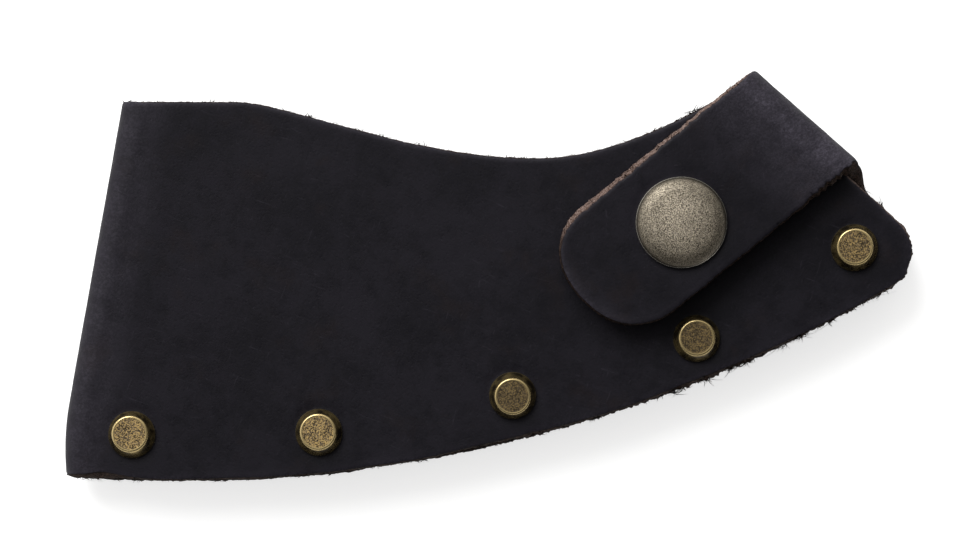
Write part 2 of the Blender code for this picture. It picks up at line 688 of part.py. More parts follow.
def main():
    clear_scene()
    grain = material("leather_black", LEATHER_BLACK, 0.6, 0.0)
    body = make_leather_body(grain)
    welt = make_edge_welt(material("welt_leather", LEATHER_BROWN, 0.85, 0.0))
    bend = make_strap_bend(material("strap_bend_leather", LEATHER_BLACK, 0.6, 0.0))
    flap = make_strap_flap(material("strap_flap_leather", LEATHER_BLACK, 0.6, 0.0))

    rivet_holes = [(centre, RIVET_HOLE_RADIUS) for centre in RIVET_CENTRES]
    through = hole_cutter("rivet_hole_cutter", rivet_holes, -CUT_PAST, FRONT_TOP + CUT_PAST)
    cut(body, through)
    cut(welt, through)
    stud_hole = [(SNAP_CENTRE, SNAP_HOLE_RADIUS)]
    cut(body, hole_cutter("stud_hole_cutter", stud_hole, FRONT_BOTTOM - CUT_PAST, FRONT_TOP + CUT_PAST))
    cut(flap, hole_cutter("cap_hole_cutter", stud_hole, FLAP_UNDERSIDE - CUT_PAST, FLAP_TOP + CUT_PAST))
    seat = [(SNAP_CENTRE, SOCKET_FLANGE_RADIUS + CLEARANCE)]
    seat_top = FLAP_UNDERSIDE + SOCKET_SEAT_DEPTH
    cut(flap, hole_cutter("socket_seat_cutter", seat, FLAP_UNDERSIDE - CUT_PAST, seat_top))

    for index, centre in enumerate(RIVET_CENTRES, start=1):
        make_rivet_front(index, centre, material(f"rivet_front_{index}", ANTIQUE_BRASS, 0.38, 1.0))
        make_rivet_back(index, centre, material(f"rivet_back_{index}", ANTIQUE_BRASS, 0.38, 1.0))

    cap = make_snap_cap(material("snap_cap", ANTIQUE_NICKEL, 0.35, 1.0))
    socket = make_snap_socket(material("snap_socket", ANTIQUE_NICKEL, 0.35, 1.0))
    spring = make_snap_spring(material("snap_spring", SPRING_STEEL, 0.3, 1.0))
    make_snap_stud(material("snap_stud", ANTIQUE_NICKEL, 0.35, 1.0))
    make_snap_eyelet(material("snap_eyelet", ANTIQUE_NICKEL, 0.35, 1.0))

    lower = hinge_point(upper=False)
    upper = hinge_point(upper=True)
    put_origin(bend, lower)
    put_origin(flap, upper, bend, lower)
    for item in (cap, socket, spring):
        put_origin(item, upper, flap, upper)


main()
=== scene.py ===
"""Looks of the leather axe mask.

Lengths are millimetres until write_mesh turns them into metres. Every leather piece is cut from a flat
outline, given its thickness, and then bent to shape, so its grain and its cut edges run round the bends.
The flat frame is the plan of the back panel: the front panel lies mirrored on the fold's other side, and the
strap runs straight out past the mouth.
"""

import math
import random

import bmesh
import bpy
import numpy as np
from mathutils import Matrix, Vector, kdtree, noise
from mathutils.geometry import delaunay_2d_cdt


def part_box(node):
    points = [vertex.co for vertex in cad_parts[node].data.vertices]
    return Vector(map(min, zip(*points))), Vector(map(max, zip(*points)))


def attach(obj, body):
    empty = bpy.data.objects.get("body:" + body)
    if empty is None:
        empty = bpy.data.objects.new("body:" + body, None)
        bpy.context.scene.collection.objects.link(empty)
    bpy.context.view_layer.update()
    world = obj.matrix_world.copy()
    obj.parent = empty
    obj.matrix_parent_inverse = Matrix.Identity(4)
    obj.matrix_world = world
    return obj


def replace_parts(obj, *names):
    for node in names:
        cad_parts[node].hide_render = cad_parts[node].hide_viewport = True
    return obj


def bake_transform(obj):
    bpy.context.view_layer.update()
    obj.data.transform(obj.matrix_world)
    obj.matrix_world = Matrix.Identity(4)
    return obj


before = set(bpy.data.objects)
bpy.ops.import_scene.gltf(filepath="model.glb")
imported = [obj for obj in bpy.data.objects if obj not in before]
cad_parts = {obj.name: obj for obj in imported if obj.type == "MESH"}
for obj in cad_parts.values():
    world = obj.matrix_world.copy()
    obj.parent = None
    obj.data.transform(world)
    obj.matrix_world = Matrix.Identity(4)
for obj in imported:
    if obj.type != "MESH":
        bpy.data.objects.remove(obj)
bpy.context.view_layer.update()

MM = 0.001


def node_box(name):
    """Lowest and highest corner of a CAD node, in millimetres."""
    low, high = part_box(name)
    return np.array(low) / MM, np.array(high) / MM


def node_middle(name):
    low, high = node_box(name)
    return (low + high) / 2


# ---------------------------------------------------------------- sizes

WELT_LOW, WELT_HIGH = node_box("edge_welt")
_, BODY_HIGH = node_box("leather_body")
_, FLAP_HIGH = node_box("strap_flap")
LEATHER = WELT_HIGH[2] - WELT_LOW[2]
HALF = LEATHER / 2
GAP = 0.3
SEAT_LIFT = GAP + 0.02
SEAT_EDGE = 0.55
DENT_WIDTH = 0.9
RIVET_DENT = 0.16
CAP_DENT = 0.12
FRONT_TOP = BODY_HIGH[2]
FRONT_MID = FRONT_TOP - HALF
WELT_MID = WELT_LOW[2] + HALF
MARGIN_HEIGHT = WELT_LOW[2] - GAP - LEATHER
BELLY_MID = HALF
ROOT_MID = MARGIN_HEIGHT + HALF
FLAP_TOP = FLAP_HIGH[2]
FLAP_MID = FLAP_TOP - HALF

# Fold
FOLD_START = np.array((-71.9, -33.1))
FOLD_LEAN = math.radians(10.1)
FOLD_PINCH = 1.7
FOLD_PINCH_REACH = 12.0
FOLD_RADIUS = 2.3
FOLD_OUTER = FOLD_RADIUS + HALF
FOLD_ALONG = np.array((math.sin(FOLD_LEAN), math.cos(FOLD_LEAN)))
FOLD_ACROSS = np.array((FOLD_ALONG[1], -FOLD_ALONG[0]))
FOLD_CORNER = FOLD_RADIUS * math.pi / 2
FOLD_WALL = FRONT_MID - BELLY_MID - 2 * FOLD_RADIUS
FOLD_LENGTH = 2 * FOLD_CORNER + FOLD_WALL

# Riveted edge, welt and toe
EDGE_CENTRE = np.array((-51.1, 197.6))
EDGE_RADIUS = 231.7
WELT_WIDTH = 12.5
WELT_HEEL_X = -67.3
WELT_TOE_X = 60.5
WELT_SIDE_U = 41.8
BELLY_BLEND = 12.0
TOE_HEEL = np.array((68.9, -0.3))
TOE_LEAN = math.radians(72.5)
TOE_ALONG = np.array((math.cos(TOE_LEAN), math.sin(TOE_LEAN)))
TOE_LEAD = 1.8
TOE_HEEL_RADIUS = 1.0
TOE_RADIUS = 6.0
HIDDEN_CORNER_RADIUS = 4.0

# Mouth
MOUTH_LEVEL = np.array((-42.4, 28.5))
MOUTH_LOW = np.array((7.6, 19.2))
MOUTH_END = np.array((35.4, 27.6))
MOUTH_END_LEAN = math.radians(26.0)
MOUTH_LEAD = np.array((math.cos(MOUTH_END_LEAN), math.sin(MOUTH_END_LEAN)))
MOUTH_HANDLES = (6.5, 12.0, 21.0, 9.5)

# Strap
STRAP_TURN = math.radians(-41.5)
STRAP_U = np.array((math.cos(STRAP_TURN), math.sin(STRAP_TURN)))
STRAP_N = np.array((-STRAP_U[1], STRAP_U[0]))
STRAP_OUTERMOST = 54.4
STRAP_RADIUS = 2.8
STRAP_SKEW = 0.172
SIDE_N = STRAP_OUTERMOST - LEATHER - GAP
BEND_N = STRAP_OUTERMOST - STRAP_RADIUS - HALF
STRAP_CORNER = STRAP_RADIUS * math.pi / 2
STRAP_WALL = FLAP_MID - ROOT_MID - 2 * STRAP_RADIUS
FLAP_START_S = BEND_N + 2 * STRAP_CORNER + STRAP_WALL
FLAP_LEFT_U = 9.4
FLAP_RIGHT_U = 32.65
ROOT_FILLET = 5.0
INNER_RADIUS = 3.0
ROOT_BLEND_N = 36.0
ROOT_BLEND = 8.0
TIP_N = 7.0
TIP_U = 15.4
TIP_LEFT = (11.5, 2.0)
TIP_RIGHT = (9.5, 2.4)
TIP_S = FLAP_START_S + BEND_N - TIP_N

# Where the strap's root is rubbed most, as a distance out from the mask
ROOT_WORN_N = 53

# Seams of the strap: inside its lower bend, and half-way up its wall. The upper blend starts past the wall's.
ROOT_SEAM_DEG = 41.5
ROOT_SEAM_S = BEND_N + STRAP_RADIUS * math.radians(ROOT_SEAM_DEG)
WALL_SEAM_S = BEND_N + STRAP_CORNER + STRAP_WALL / 2
UPPER_BLEND_S = WALL_SEAM_S + 1.7
SEAM_REACH = 0.01

# Hardware
RIVETS = range(1, 6)
RIVET_CENTRES = [node_middle(f"rivet_front_{index}") for index in RIVETS]
RIVET_RADIUS = 3.85
SNAP_CENTRE = node_middle("snap_cap")
CAP_RADIUS = 7.5

# How far each rivet's cap leans, per millimetre of height
RIVET_LEAN = ((-0.09, 0.10), (-0.04, 0.065), (0.0, -0.05), (-0.02, 0.07), (-0.05, 0.07))
# How bright the plating looks, from 0 to 1: on each rivet, and on the snap's cap at these radii. This is
# partly the plating's own rubbed tone and partly painted shade: the low values of rivets 3 and 4 darken
# rivets that stand in less light, and the dip towards the cap's edge darkens the reflection on its slope.
RIVET_TONE_AND_SHADE = (0.88, 0.85, 0.4, 0.42, 0.68)
CAP_TONE_AND_SHADE_AT = (0.0, 2.5, 5.0, 6.2, 7.5)
CAP_TONE_AND_SHADE = (0.98, 0.92, 0.68, 0.5, 0.65)
RIVET_STIPPLE_RADIUS = 2.62
CAP_STIPPLE_RADIUS = 7.4
CAP_STIPPLE_FADING = 0.7

# Making
EDGE_STEP = 0.3
SPACING = 0.85
BEND_SPACING = 0.42
EDGE_ROWS = 6
INSETS = (0.15, 0.36, 0.75)
EDGE_ROUND = 0.14
EDGE_ROUND_WIDTH = 0.42
CHANCE = random.Random(7)


# ---------------------------------------------------------------- helpers

def smooth(value, low=0.0, high=1.0):
    """0 below low, 1 above high, and smooth between them."""
    share = np.clip((value - low) / (high - low), 0.0, 1.0)
    return share * share * (3 - 2 * share)


def hill(value, centre, width):
    """1 at centre, falling away smoothly on both sides within about width."""
    return np.exp(-((value - centre) / width)**2)


def ripple(points, width, seed=0.0, octaves=2):
    """Smooth noise at points, from about -1 to 1, whose features are about as wide as width."""
    points = np.asarray(points, float)
    if points.shape[1] == 2:
        points = np.column_stack((points, np.zeros(len(points))))
    scaled = points / width + seed
    return np.array([noise.fractal(Vector(place), 1.0, 2.0, octaves) for place in scaled])


def write_mesh(name, verts, faces, look, attributes=None):
    """Object made of a closed mesh in millimetres, with one value of each attribute at each vertex."""
    mesh = bpy.data.meshes.new(name)
    mesh.from_pydata((np.asarray(verts) * MM).tolist(), [], faces)
    for label, values in (attributes or {}).items():
        values = np.asarray(values, np.float32)
        if values.ndim == 2:
            mesh.attributes.new(label, "FLOAT_VECTOR", "POINT").data.foreach_set("vector", values.ravel())
        else:
            mesh.attributes.new(label, "FLOAT", "POINT").data.foreach_set("value", values)
    bm = bmesh.new()
    bm.from_mesh(mesh)
    bmesh.ops.recalc_face_normals(bm, faces=bm.faces)
    bm.to_mesh(mesh)
    bm.free()
    mesh.shade_smooth()
    mesh.materials.append(look)
    result = bpy.data.objects.new(name, mesh)
    bpy.context.scene.collection.objects.link(result)
    return result


# ---------------------------------------------------------------- outlines, laid flat

def arc(centre, radius, start, end, steps):
    turns = np.linspace(start, end, steps + 1)
    return [centre + radius * np.array((math.cos(turn), math.sin(turn))) for turn in turns]


def bezier(first, second, third, fourth, steps):
    return [(1 - t)**3 * first + 3 * (1 - t)**2 * t * second + 3 * (1 - t) * t * t * third + t**3 * fourth
            for t in np.linspace(0, 1, steps + 1)]


def rounded(before, corner, after, radius, steps=10):
    """Arc of a radius in place of the corner between two straight stretches."""
    towards = (before - corner) / np.linalg.norm(before - corner)
    onwards = (after - corner) / np.linalg.norm(after - corner)
    half_angle = math.acos(np.clip(towards @ onwards, -1, 1)) / 2
    reach = radius / math.tan(half_angle)
    middle = (towards + onwards) / np.linalg.norm(towards + onwards)
    centre = corner + middle * radius / math.sin(half_angle)
    start = corner + towards * reach - centre
    end = corner + onwards * reach - centre
    first = math.atan2(start[1], start[0])
    sweep = (math.atan2(end[1], end[0]) - first + math.pi) % (2 * math.pi) - math.pi
    return arc(centre, radius, first, first + sweep, steps)


def strap_plan(u, n):
    return STRAP_U * u + STRAP_N * n


def meets_side(point, direction):
    return point + direction * ((SIDE_N - point @ STRAP_N) / (direction @ STRAP_N))


def edge_arc(inset, first_x, last_x, steps=90):
    radius = EDGE_RADIUS - inset
    start = -math.acos((first_x - EDGE_CENTRE[0]) / radius)
    end = -math.acos((last_x - EDGE_CENTRE[0]) / radius)
    return arc(EDGE_CENTRE, radius, start, end, steps)


def toe_points():
    corner = meets_side(TOE_HEEL, TOE_ALONG)
    before = edge_arc(0, TOE_HEEL[0] - TOE_RADIUS, TOE_HEEL[0], 1)[0]
    heel = rounded(before, TOE_HEEL, corner, TOE_HEEL_RADIUS, 4)
    return heel + rounded(TOE_HEEL, corner, corner - STRAP_U, TOE_RADIUS, 16)


def lower_edge(first_x):
    return edge_arc(0, first_x, TOE_HEEL[0] - TOE_LEAD) + toe_points()


def mouth_points():
    near_end, rising, dipping, near_level = MOUTH_HANDLES
    rise = bezier(MOUTH_END, MOUTH_END - MOUTH_LEAD * near_end, MOUTH_LOW + (rising, 0), MOUTH_LOW, 40)
    dip = bezier(MOUTH_LOW, MOUTH_LOW - (dipping, 0), MOUTH_LEVEL + (near_level, 0), MOUTH_LEVEL, 50)
    return rise + dip[1:]


def fold_top(across):
    return (MOUTH_LEVEL[1] - FOLD_START[1] - across * FOLD_ACROSS[1]) / FOLD_ALONG[1]


def fold_end():
    return FOLD_START + FOLD_ACROSS * FOLD_OUTER + FOLD_ALONG * fold_top(FOLD_OUTER)


def heel_x():
    return FOLD_START[0] + FOLD_PINCH + FOLD_OUTER


def right_side(s):
    skewed = FLAP_RIGHT_U + STRAP_SKEW * (FLAP_START_S - s)
    fillet_end = SIDE_N + ROOT_FILLET
    if s >= fillet_end:
        return skewed
    return skewed + ROOT_FILLET - math.sqrt(ROOT_FILLET**2 - (fillet_end - s)**2)


def left_side(s):
    return FLAP_LEFT_U + STRAP_SKEW * (FLAP_START_S - s)


def front_outline():
    corner = meets_side(MOUTH_END, MOUTH_LEAD)
    hidden = rounded(corner + STRAP_U, corner, MOUTH_END, HIDDEN_CORNER_RADIUS)
    return lower_edge(heel_x()) + hidden + mouth_points() + [fold_end()]


def back_outline():
    """Back panel with the strap's root, up to the root's seam."""
    right = [strap_plan(right_side(s), s) for s in np.linspace(SIDE_N, ROOT_SEAM_S, 4)]
    left = strap_plan(left_side(ROOT_SEAM_S), ROOT_SEAM_S)
    inner_n = SIDE_N - INNER_RADIUS
    inner = strap_plan(left_side(inner_n), inner_n)
    fillet = rounded(left, inner, MOUTH_END, INNER_RADIUS)
    return lower_edge(heel_x()) + right + [left] + fillet + mouth_points() + [fold_end()]


def flat_point(c, along):
    """Place in the flat frame: c runs across the fold, from the front panel to the back one."""
    return FOLD_START + FOLD_ACROSS * (c - FOLD_LENGTH + FOLD_OUTER) + FOLD_ALONG * along


def body_outline():
    back = back_outline()
    mirrored = []
    for point in reversed(front_outline()):
        offset = point - FOLD_START
        mirrored.append(flat_point(FOLD_OUTER - offset @ FOLD_ACROSS, offset @ FOLD_ALONG))
    middle = FOLD_LENGTH / 2
    return back + [flat_point(middle, fold_top(0))] + mirrored + [flat_point(middle, 0.0)]


def strip_outline(first_s, last_s):
    stations = np.linspace(first_s, last_s, 14)
    right = [strap_plan(right_side(s), s) for s in stations]
    left = [strap_plan(left_side(s), s) for s in stations]
    return right + left[::-1]


def tip_share(to_tip, shape):
    depth, power = shape
    rise = max(1 - to_tip / depth, 0.0)
    return (1 - rise**power) ** (1 / power)


def flap_outline():
    """Upper half of the strap, from the seam in its wall to its rounded tip."""
    straight = np.linspace(WALL_SEAM_S, TIP_S - TIP_LEFT[0], 50)
    turns = np.radians(np.linspace(0, 90, 40))
    stations = list(straight[:-1]) + [TIP_S - TIP_LEFT[0] * (1 - math.sin(turn)) for turn in turns]
    right, left = [], []
    for s in stations:
        to_tip = TIP_S - s
        right.append(strap_plan(TIP_U + (right_side(s) - TIP_U) * tip_share(to_tip, TIP_RIGHT), s))
        left.append(strap_plan(TIP_U + (left_side(s) - TIP_U) * tip_share(to_tip, TIP_LEFT), s))
    return right + left[::-1]


def welt_outline():
    side = strap_plan(WELT_SIDE_U, SIDE_N)
    return lower_edge(WELT_HEEL_X) + [side] + edge_arc(WELT_WIDTH, WELT_HEEL_X + 1, WELT_TOE_X)[::-1]


# ---------------------------------------------------------------- bending

def strap_section(s, h):
    """Distance out from the mask and height of the strap's points at s along it, h above mid-leather."""
    lower_end = BEND_N + STRAP_CORNER
    upper_start = lower_end + STRAP_WALL
    radius = STRAP_RADIUS + h
    lower_turn = (s - BEND_N) / STRAP_RADIUS
    upper_turn = (s - upper_start) / STRAP_RADIUS
    places = [s <= BEND_N, s <= lower_end, s <= upper_start, s <= FLAP_START_S]
    n = np.select(places, [s, BEND_N + radius * np.sin(lower_turn), BEND_N + radius,
                           BEND_N + radius * np.cos(upper_turn)], BEND_N - (s - FLAP_START_S))
    z = np.select(places, [ROOT_MID - h, ROOT_MID + STRAP_RADIUS - radius * np.cos(lower_turn),
                           ROOT_MID + STRAP_RADIUS + s - lower_end,
                           FLAP_MID - STRAP_RADIUS + radius * np.sin(upper_turn)], FLAP_MID + h)
    return n, z


def bend_strap(flat, h):
    n, z = strap_section(flat @ STRAP_N, h)
    plan = np.outer(flat @ STRAP_U, STRAP_U) + np.outer(n, STRAP_N)
    return np.column_stack((plan, z))


def margin_share(plan):
    edge_distance = EDGE_RADIUS - np.linalg.norm(plan - EDGE_CENTRE, axis=1)
    edge = 1 - smooth(edge_distance, WELT_WIDTH, WELT_WIDTH + BELLY_BLEND)
    root = smooth(plan @ STRAP_N, ROOT_BLEND_N, ROOT_BLEND_N + ROOT_BLEND)
    return 1 - (1 - edge) * (1 - root)


def fold_coordinates(flat):
    offset = flat - FOLD_START
    return FOLD_LENGTH + offset @ FOLD_ACROSS - FOLD_OUTER, offset @ FOLD_ALONG


def bend_body(flat, h):
    """Folds the flat blank into front panel, fold, back panel and the strap's root."""
    c, along = fold_coordinates(flat)
    wall_end = FOLD_CORNER + FOLD_WALL
    radius = FOLD_RADIUS + h
    front_turn = c / FOLD_RADIUS
    back_turn = (c - wall_end) / FOLD_RADIUS
    places = [c <= 0, c <= FOLD_CORNER, c <= wall_end, c <= FOLD_LENGTH]
    across = np.select(places, [FOLD_OUTER - c, FOLD_OUTER - radius * np.sin(front_turn),
                                FOLD_OUTER - radius, FOLD_OUTER - radius * np.cos(back_turn)],
                       FOLD_OUTER + c - FOLD_LENGTH)
    z = np.select(places, [FRONT_MID + h, FRONT_MID - FOLD_RADIUS + radius * np.cos(front_turn),
                           FRONT_MID - FOLD_RADIUS - (c - FOLD_CORNER),
                           BELLY_MID + FOLD_RADIUS - radius * np.sin(back_turn)], BELLY_MID - h)
    heel = np.clip(1 - along / FOLD_PINCH_REACH, 0, None)**2
    pinch = FOLD_PINCH * heel * np.clip(1 - across / FOLD_PINCH_REACH, 0, None)
    plan = FOLD_START + np.outer(across + pinch, FOLD_ACROSS) + np.outer(along, FOLD_ALONG)
    z = z + MARGIN_HEIGHT * margin_share(plan) * np.clip((c - FOLD_CORNER) / FOLD_WALL, 0, 1)
    root = (c > FOLD_LENGTH) & (plan @ STRAP_N > BEND_N)
    return np.where(root[:, None], bend_strap(plan, h), np.column_stack((plan, z)))


def lay_welt(flat, h):
    return np.column_stack((flat, WELT_MID + h))


# ---------------------------------------------------------------- leather sheets

def cut_outline(outline, is_seam):
    """The outline in short stretches, its outward directions, and which of its points are on a cut edge."""
    points = []
    for near, far in zip(outline, outline[1:] + outline[:1]):
        length = np.linalg.norm(far - near)
        if length < 0.05:
            continue
        steps = max(1, math.ceil(length / EDGE_STEP))
        points += [near + (far - near) * step / steps for step in range(steps)]
    points = np.array(points)
    following = np.roll(points, -1, axis=0)
    if np.sum(points[:, 0] * following[:, 1] - following[:, 0] * points[:, 1]) < 0:
        points = points[::-1].copy()
        following = np.roll(points, -1, axis=0)
    stretch = following - points
    outward = np.column_stack((stretch[:, 1], -stretch[:, 0]))
    outward /= np.linalg.norm(outward, axis=1)[:, None]
    outward[is_seam((points + following) / 2)] = 0
    normals = outward + np.roll(outward, 1, axis=0)
    size = np.linalg.norm(normals, axis=1)
    on_cut = size > 1e-6
    normals[on_cut] /= size[on_cut, None]
    return points, normals, on_cut


def inside(points, polygon):
    """Which points are inside a polygon."""
    result = np.zeros(len(points), bool)
    x, y = points[:, 0], points[:, 1]
    for (ax, ay), (bx, by) in zip(polygon, np.roll(polygon, -1, axis=0)):
        crosses = (ay > y) != (by > y)
        if ay != by:
            result ^= crosses & (x < (bx - ax) * (y - ay) / (by - ay) + ax)
    return result


def nearest_edge(points, edge, normals, on_cut):
    """Distance from each point to the nearest cut edge, and that edge's outward direction."""
    tree = kdtree.KDTree(int(on_cut.sum()))
    rows = np.flatnonzero(on_cut)
    for row in rows:
        tree.insert((*edge[row], 0), int(row))
    tree.balance()
    found = [tree.find((*point, 0)) for point in points]
    index = np.array([entry[1] for entry in found])
    return np.array([entry[2] for entry in found]), normals[index]


def grid_points(edge, normals, on_cut, fine):
    """Points inside the outline: rows along its cut edge, then an even grid, closer where fine says."""
    rows = []
    for inset in INSETS:
        rows.append(edge[on_cut] - normals[on_cut] * inset)
    low, high = edge.min(axis=0), edge.max(axis=0)
    layers = [(SPACING, lambda flat: ~fine(flat)), (BEND_SPACING, fine)]
    grids = []
    for spacing, wanted in layers:
        xs = np.arange(low[0], high[0], spacing)
        ys = np.arange(low[1], high[1], spacing * math.sqrt(3) / 2)
        grid = np.array([(x + spacing / 2 * (row % 2), y) for row, y in enumerate(ys) for x in xs])
        grids.append(grid[wanted(grid)])
    grid = np.concatenate(grids)
    grid = grid[inside(grid, edge)]
    grid_distance, _ = nearest_edge(grid, edge, normals, on_cut)
    grid = grid[grid_distance > INSETS[-1] + 0.3]
    for inset, row in zip(INSETS, rows):
        distance, _ = nearest_edge(row, edge, normals, on_cut)
        kept = row[(distance > inset * 0.9) & inside(row, edge)]
        grid = np.concatenate((kept, grid))
    return grid


def leather_sheet(name, outline, bend, shape, look, is_seam, fine):
    """Closed solid of one piece of leather, and what its cut edge looks like for fibres to grow from.

    shape(flat, top, distance) takes the flat points, where their grain face lies once bent, and how far they
    are from a cut edge. It gives how far the grain and the flesh face stand up, how far the top and the foot
    of the cut edge stand out, how worn the grain is, and how little of the cut is dyed, which on the strap's
    left edge also carries a painted highlight.
    """
    edge, normals, on_cut = cut_outline(outline, is_seam)
    inner = grid_points(edge, normals, on_cut, fine)
    count = len(edge)
    flat_in = [Vector(point) for point in np.concatenate((edge, inner))]
    flat_out, _, triangles, origin, _, _ = delaunay_2d_cdt(flat_in, [], [list(range(count))], 1, 1e-4)
    place_of = {source: row for row, sources in enumerate(origin) for source in sources}
    rim = [place_of[row] for row in range(count)]
    flat = np.array(flat_out)
    distance, normal = nearest_edge(flat, edge, normals, on_cut)
    normal[rim] = normals
    distance[rim] = np.where(on_cut, 0.0, distance[rim])
    look_at = shape(flat, bend(flat, np.full(len(flat), HALF)), distance)
    fade = 1 - smooth(distance, 0, 3.0)
    lowered = EDGE_ROUND * np.clip(1 - distance / EDGE_ROUND_WIDTH, 0, 1)**2
    top_flat = flat + normal * (look_at["top_out"] * fade)[:, None]
    foot_flat = flat + normal * (look_at["foot_out"] * fade)[:, None]
    top_h = HALF - lowered + look_at["grain"]
    foot_h = -HALF + lowered * 0.6 + look_at["flesh"]

    total = len(flat)
    places = [bend(top_flat, top_h), bend(foot_flat, foot_h)]
    cut = [np.zeros(total), np.zeros(total)]
    depth = [np.zeros(total), np.ones(total)]
    for values in cut:
        values[rim] = np.where(on_cut, 0.75, 0)
    flats = [flat, flat]
    heights = [top_h, foot_h]
    for row in range(1, EDGE_ROWS):
        share = row / EDGE_ROWS
        frayed = ripple(np.column_stack((edge, np.full(count, share * 3))), 0.55, 3.1, 3) * 0.11
        bulge = 0.10 * math.sin(math.pi * share) + frayed * on_cut
        out = look_at["top_out"][rim] * (1 - share) + look_at["foot_out"][rim] * share + bulge * on_cut
        row_h = top_h[rim] * (1 - share) + foot_h[rim] * share
        places.append(bend(edge + normals * out[:, None], row_h))
        cut.append(np.where(on_cut, 1.0, 0.0))
        depth.append(np.full(count, share))
        flats.append(edge)
        heights.append(row_h)
    faces = [tuple(face) for face in triangles]
    faces += [tuple(total + corner for corner in reversed(face)) for face in triangles]
    rows = [np.array(rim)] + [2 * total + row * count + np.arange(count) for row in range(EDGE_ROWS - 1)]
    rows.append(total + np.array(rim))
    for upper, lower in zip(rows, rows[1:]):
        for side in range(count):
            after = (side + 1) % count
            faces.append((int(lower[side]), int(lower[after]), int(upper[after]), int(upper[side])))
    blank = np.column_stack((np.concatenate(flats), np.concatenate(heights)))
    rim_extra = [np.tile(look_at[key][rim], EDGE_ROWS - 1) for key in ("wear", "raw")]
    attributes = {
        "blank": blank,
        "cut": np.concatenate(cut),
        "depth": np.concatenate(depth),
        "wear": np.concatenate((look_at["wear"], look_at["wear"] * 0.3, rim_extra[0])),
        "raw": np.concatenate((look_at["raw"], look_at["raw"], rim_extra[1])),
    }
    result = write_mesh(name, np.concatenate(places), faces, look, attributes)
    tips = bend(edge + normals * 0.5, np.zeros(count))
    roots = bend(edge, np.zeros(count))
    rise = bend(edge, np.full(count, 0.5)) - roots
    edge_frame = {"flat": edge, "root": roots, "out": tips - roots, "up": rise, "on_cut": on_cut,
                  "top_out": look_at["top_out"][rim], "foot_out": look_at["foot_out"][rim]}
    mark_seam(result, is_seam, blank)
    return result, edge_frame


def mark_seam(item, is_seam, blank):
    """Keeps shading crisp round a seam's hidden end, so that two pieces meet without a shadow line."""
    mesh = item.data
    ends = np.zeros(len(mesh.edges), bool)
    corners = np.zeros(len(mesh.edges) * 2, np.int32)
    mesh.edges.foreach_get("vertices", corners)
    corners = corners.reshape(-1, 2)
    middle = (blank[corners[:, 0], :2] + blank[corners[:, 1], :2]) / 2
    on_end = is_seam(blank[corners[:, 0], :2]) & is_seam(blank[corners[:, 1], :2]) & is_seam(middle)
    ends[on_end] = True
    if ends.any():
        attribute = mesh.attributes.new("sharp_edge", "BOOLEAN", "EDGE")
        attribute.data.foreach_set("value", ends)


def grain_relief(flat):
    """Slow waves of a hide that has been handled, and its small unevenness."""
    waves = 0.055 * ripple(flat, 19.0, 11.3)
    return waves + 0.022 * ripple(flat, 4.5, 5.7, 3) + 0.008 * ripple(flat, 1.3, 2.9)


def hand_cut(flat, seed):
    """Small wandering of a knife cut."""
    return 0.09 * ripple(flat, 7.0, seed) + 0.05 * ripple(flat, 1.5, seed + 4, 3)


def shagginess(flat):
    """Ragged fibres along a cut that was never burnished."""
    return np.clip(ripple(flat, 0.75, 91.0, 3), -0.4, 0.9) * 0.55


def towards_toe(points):
    """A third at the heel, rising to 1 over the toe's half."""
    return 0.35 + 0.65 * smooth(points[:, 0], -15, 25)


def distance_from(centre, plan):
    return np.linalg.norm(plan[:, :2] - centre[:2], axis=1)


def pressed(radius, cap_radius, inset, dent):
    """Leather lifted under a cap and pressed down round its rim."""
    seat = cap_radius - inset
    lifted = SEAT_LIFT * (1 - smooth(radius, seat, seat + SEAT_EDGE))
    return lifted - dent * hill(radius, cap_radius, DENT_WIDTH)


def rivet_dents(plan):
    relief = np.zeros(len(plan))
    for centre in RIVET_CENTRES:
        relief += pressed(distance_from(centre, plan), RIVET_RADIUS, 0.9, RIVET_DENT)
    return relief


def body_shape(flat, plan, distance):
    """Relief, cut edges, wear and dye of the folded blank; front is 1 on its front panel."""
    c, _ = fold_coordinates(flat)
    front = smooth(-c, 0, 4)
    radius = distance_from(SNAP_CENTRE, plan)
    stud_seat = front * SEAT_LIFT * (1 - smooth(radius, 4.4, 5.1))
    grain = grain_relief(flat) + rivet_dents(plan) + stud_seat
    on_table = (1 - margin_share(plan[:, :2])) * (1 - front)
    grain = np.where(c > FOLD_LENGTH, grain - np.clip(grain, 0, None) * on_table, grain)
    wander = hand_cut(flat, 21.0)
    lower_front = front * smooth(-plan[:, 1], -8, 10)
    wander = wander + lower_front * (0.30 * hill(plan[:, 0], 37, 11) - 0.22 * hill(plan[:, 0], -1, 16))
    low_end = smooth(-plan[:, 1], -12, -2)
    lower = low_end * smooth(np.abs(c - FOLD_LENGTH / 2), 3, 6)
    heel = low_end * hill(c, -3.0, 5.0)
    swell = hill(plan[:, 0], 35, 10)
    recess = lower * front * (0.32 + 0.2 * ripple(flat, 14.0, 77.0) + 0.45 * swell) + heel
    side_cut = front * smooth(plan[:, :2] @ STRAP_N, SIDE_N - 1.5, SIDE_N - 0.6)
    shaggy = lower * shagginess(flat) * towards_toe(plan)
    wander = wander - recess + (1 - front) * shaggy - 0.15 * side_cut
    slant = (0.10 + 0.15 * ripple(flat, 9.0, 31.0) + (0.65 + 0.2 * heel) * recess + 0.3 * side_cut
             + front * shaggy)
    fold_wear = 0.4 * hill(c, 1.2, 2.6) + 0.2 * hill(c, -2.8, 2.0)
    strap_wear = 0.8 * hill(plan[:, :2] @ STRAP_N, ROOT_WORN_N, 2.0) * (1 - front)
    edge_wear = 0.55 * np.exp(-distance / 0.4)
    return {"grain": grain, "flesh": 0.04 * ripple(flat, 2.2, 8.0, 3), "top_out": wander,
            "foot_out": wander + slant, "wear": np.clip(fold_wear + strap_wear + edge_wear, 0, 1),
            "raw": 0.06 + 0.45 * side_cut + 0.1 * heel}


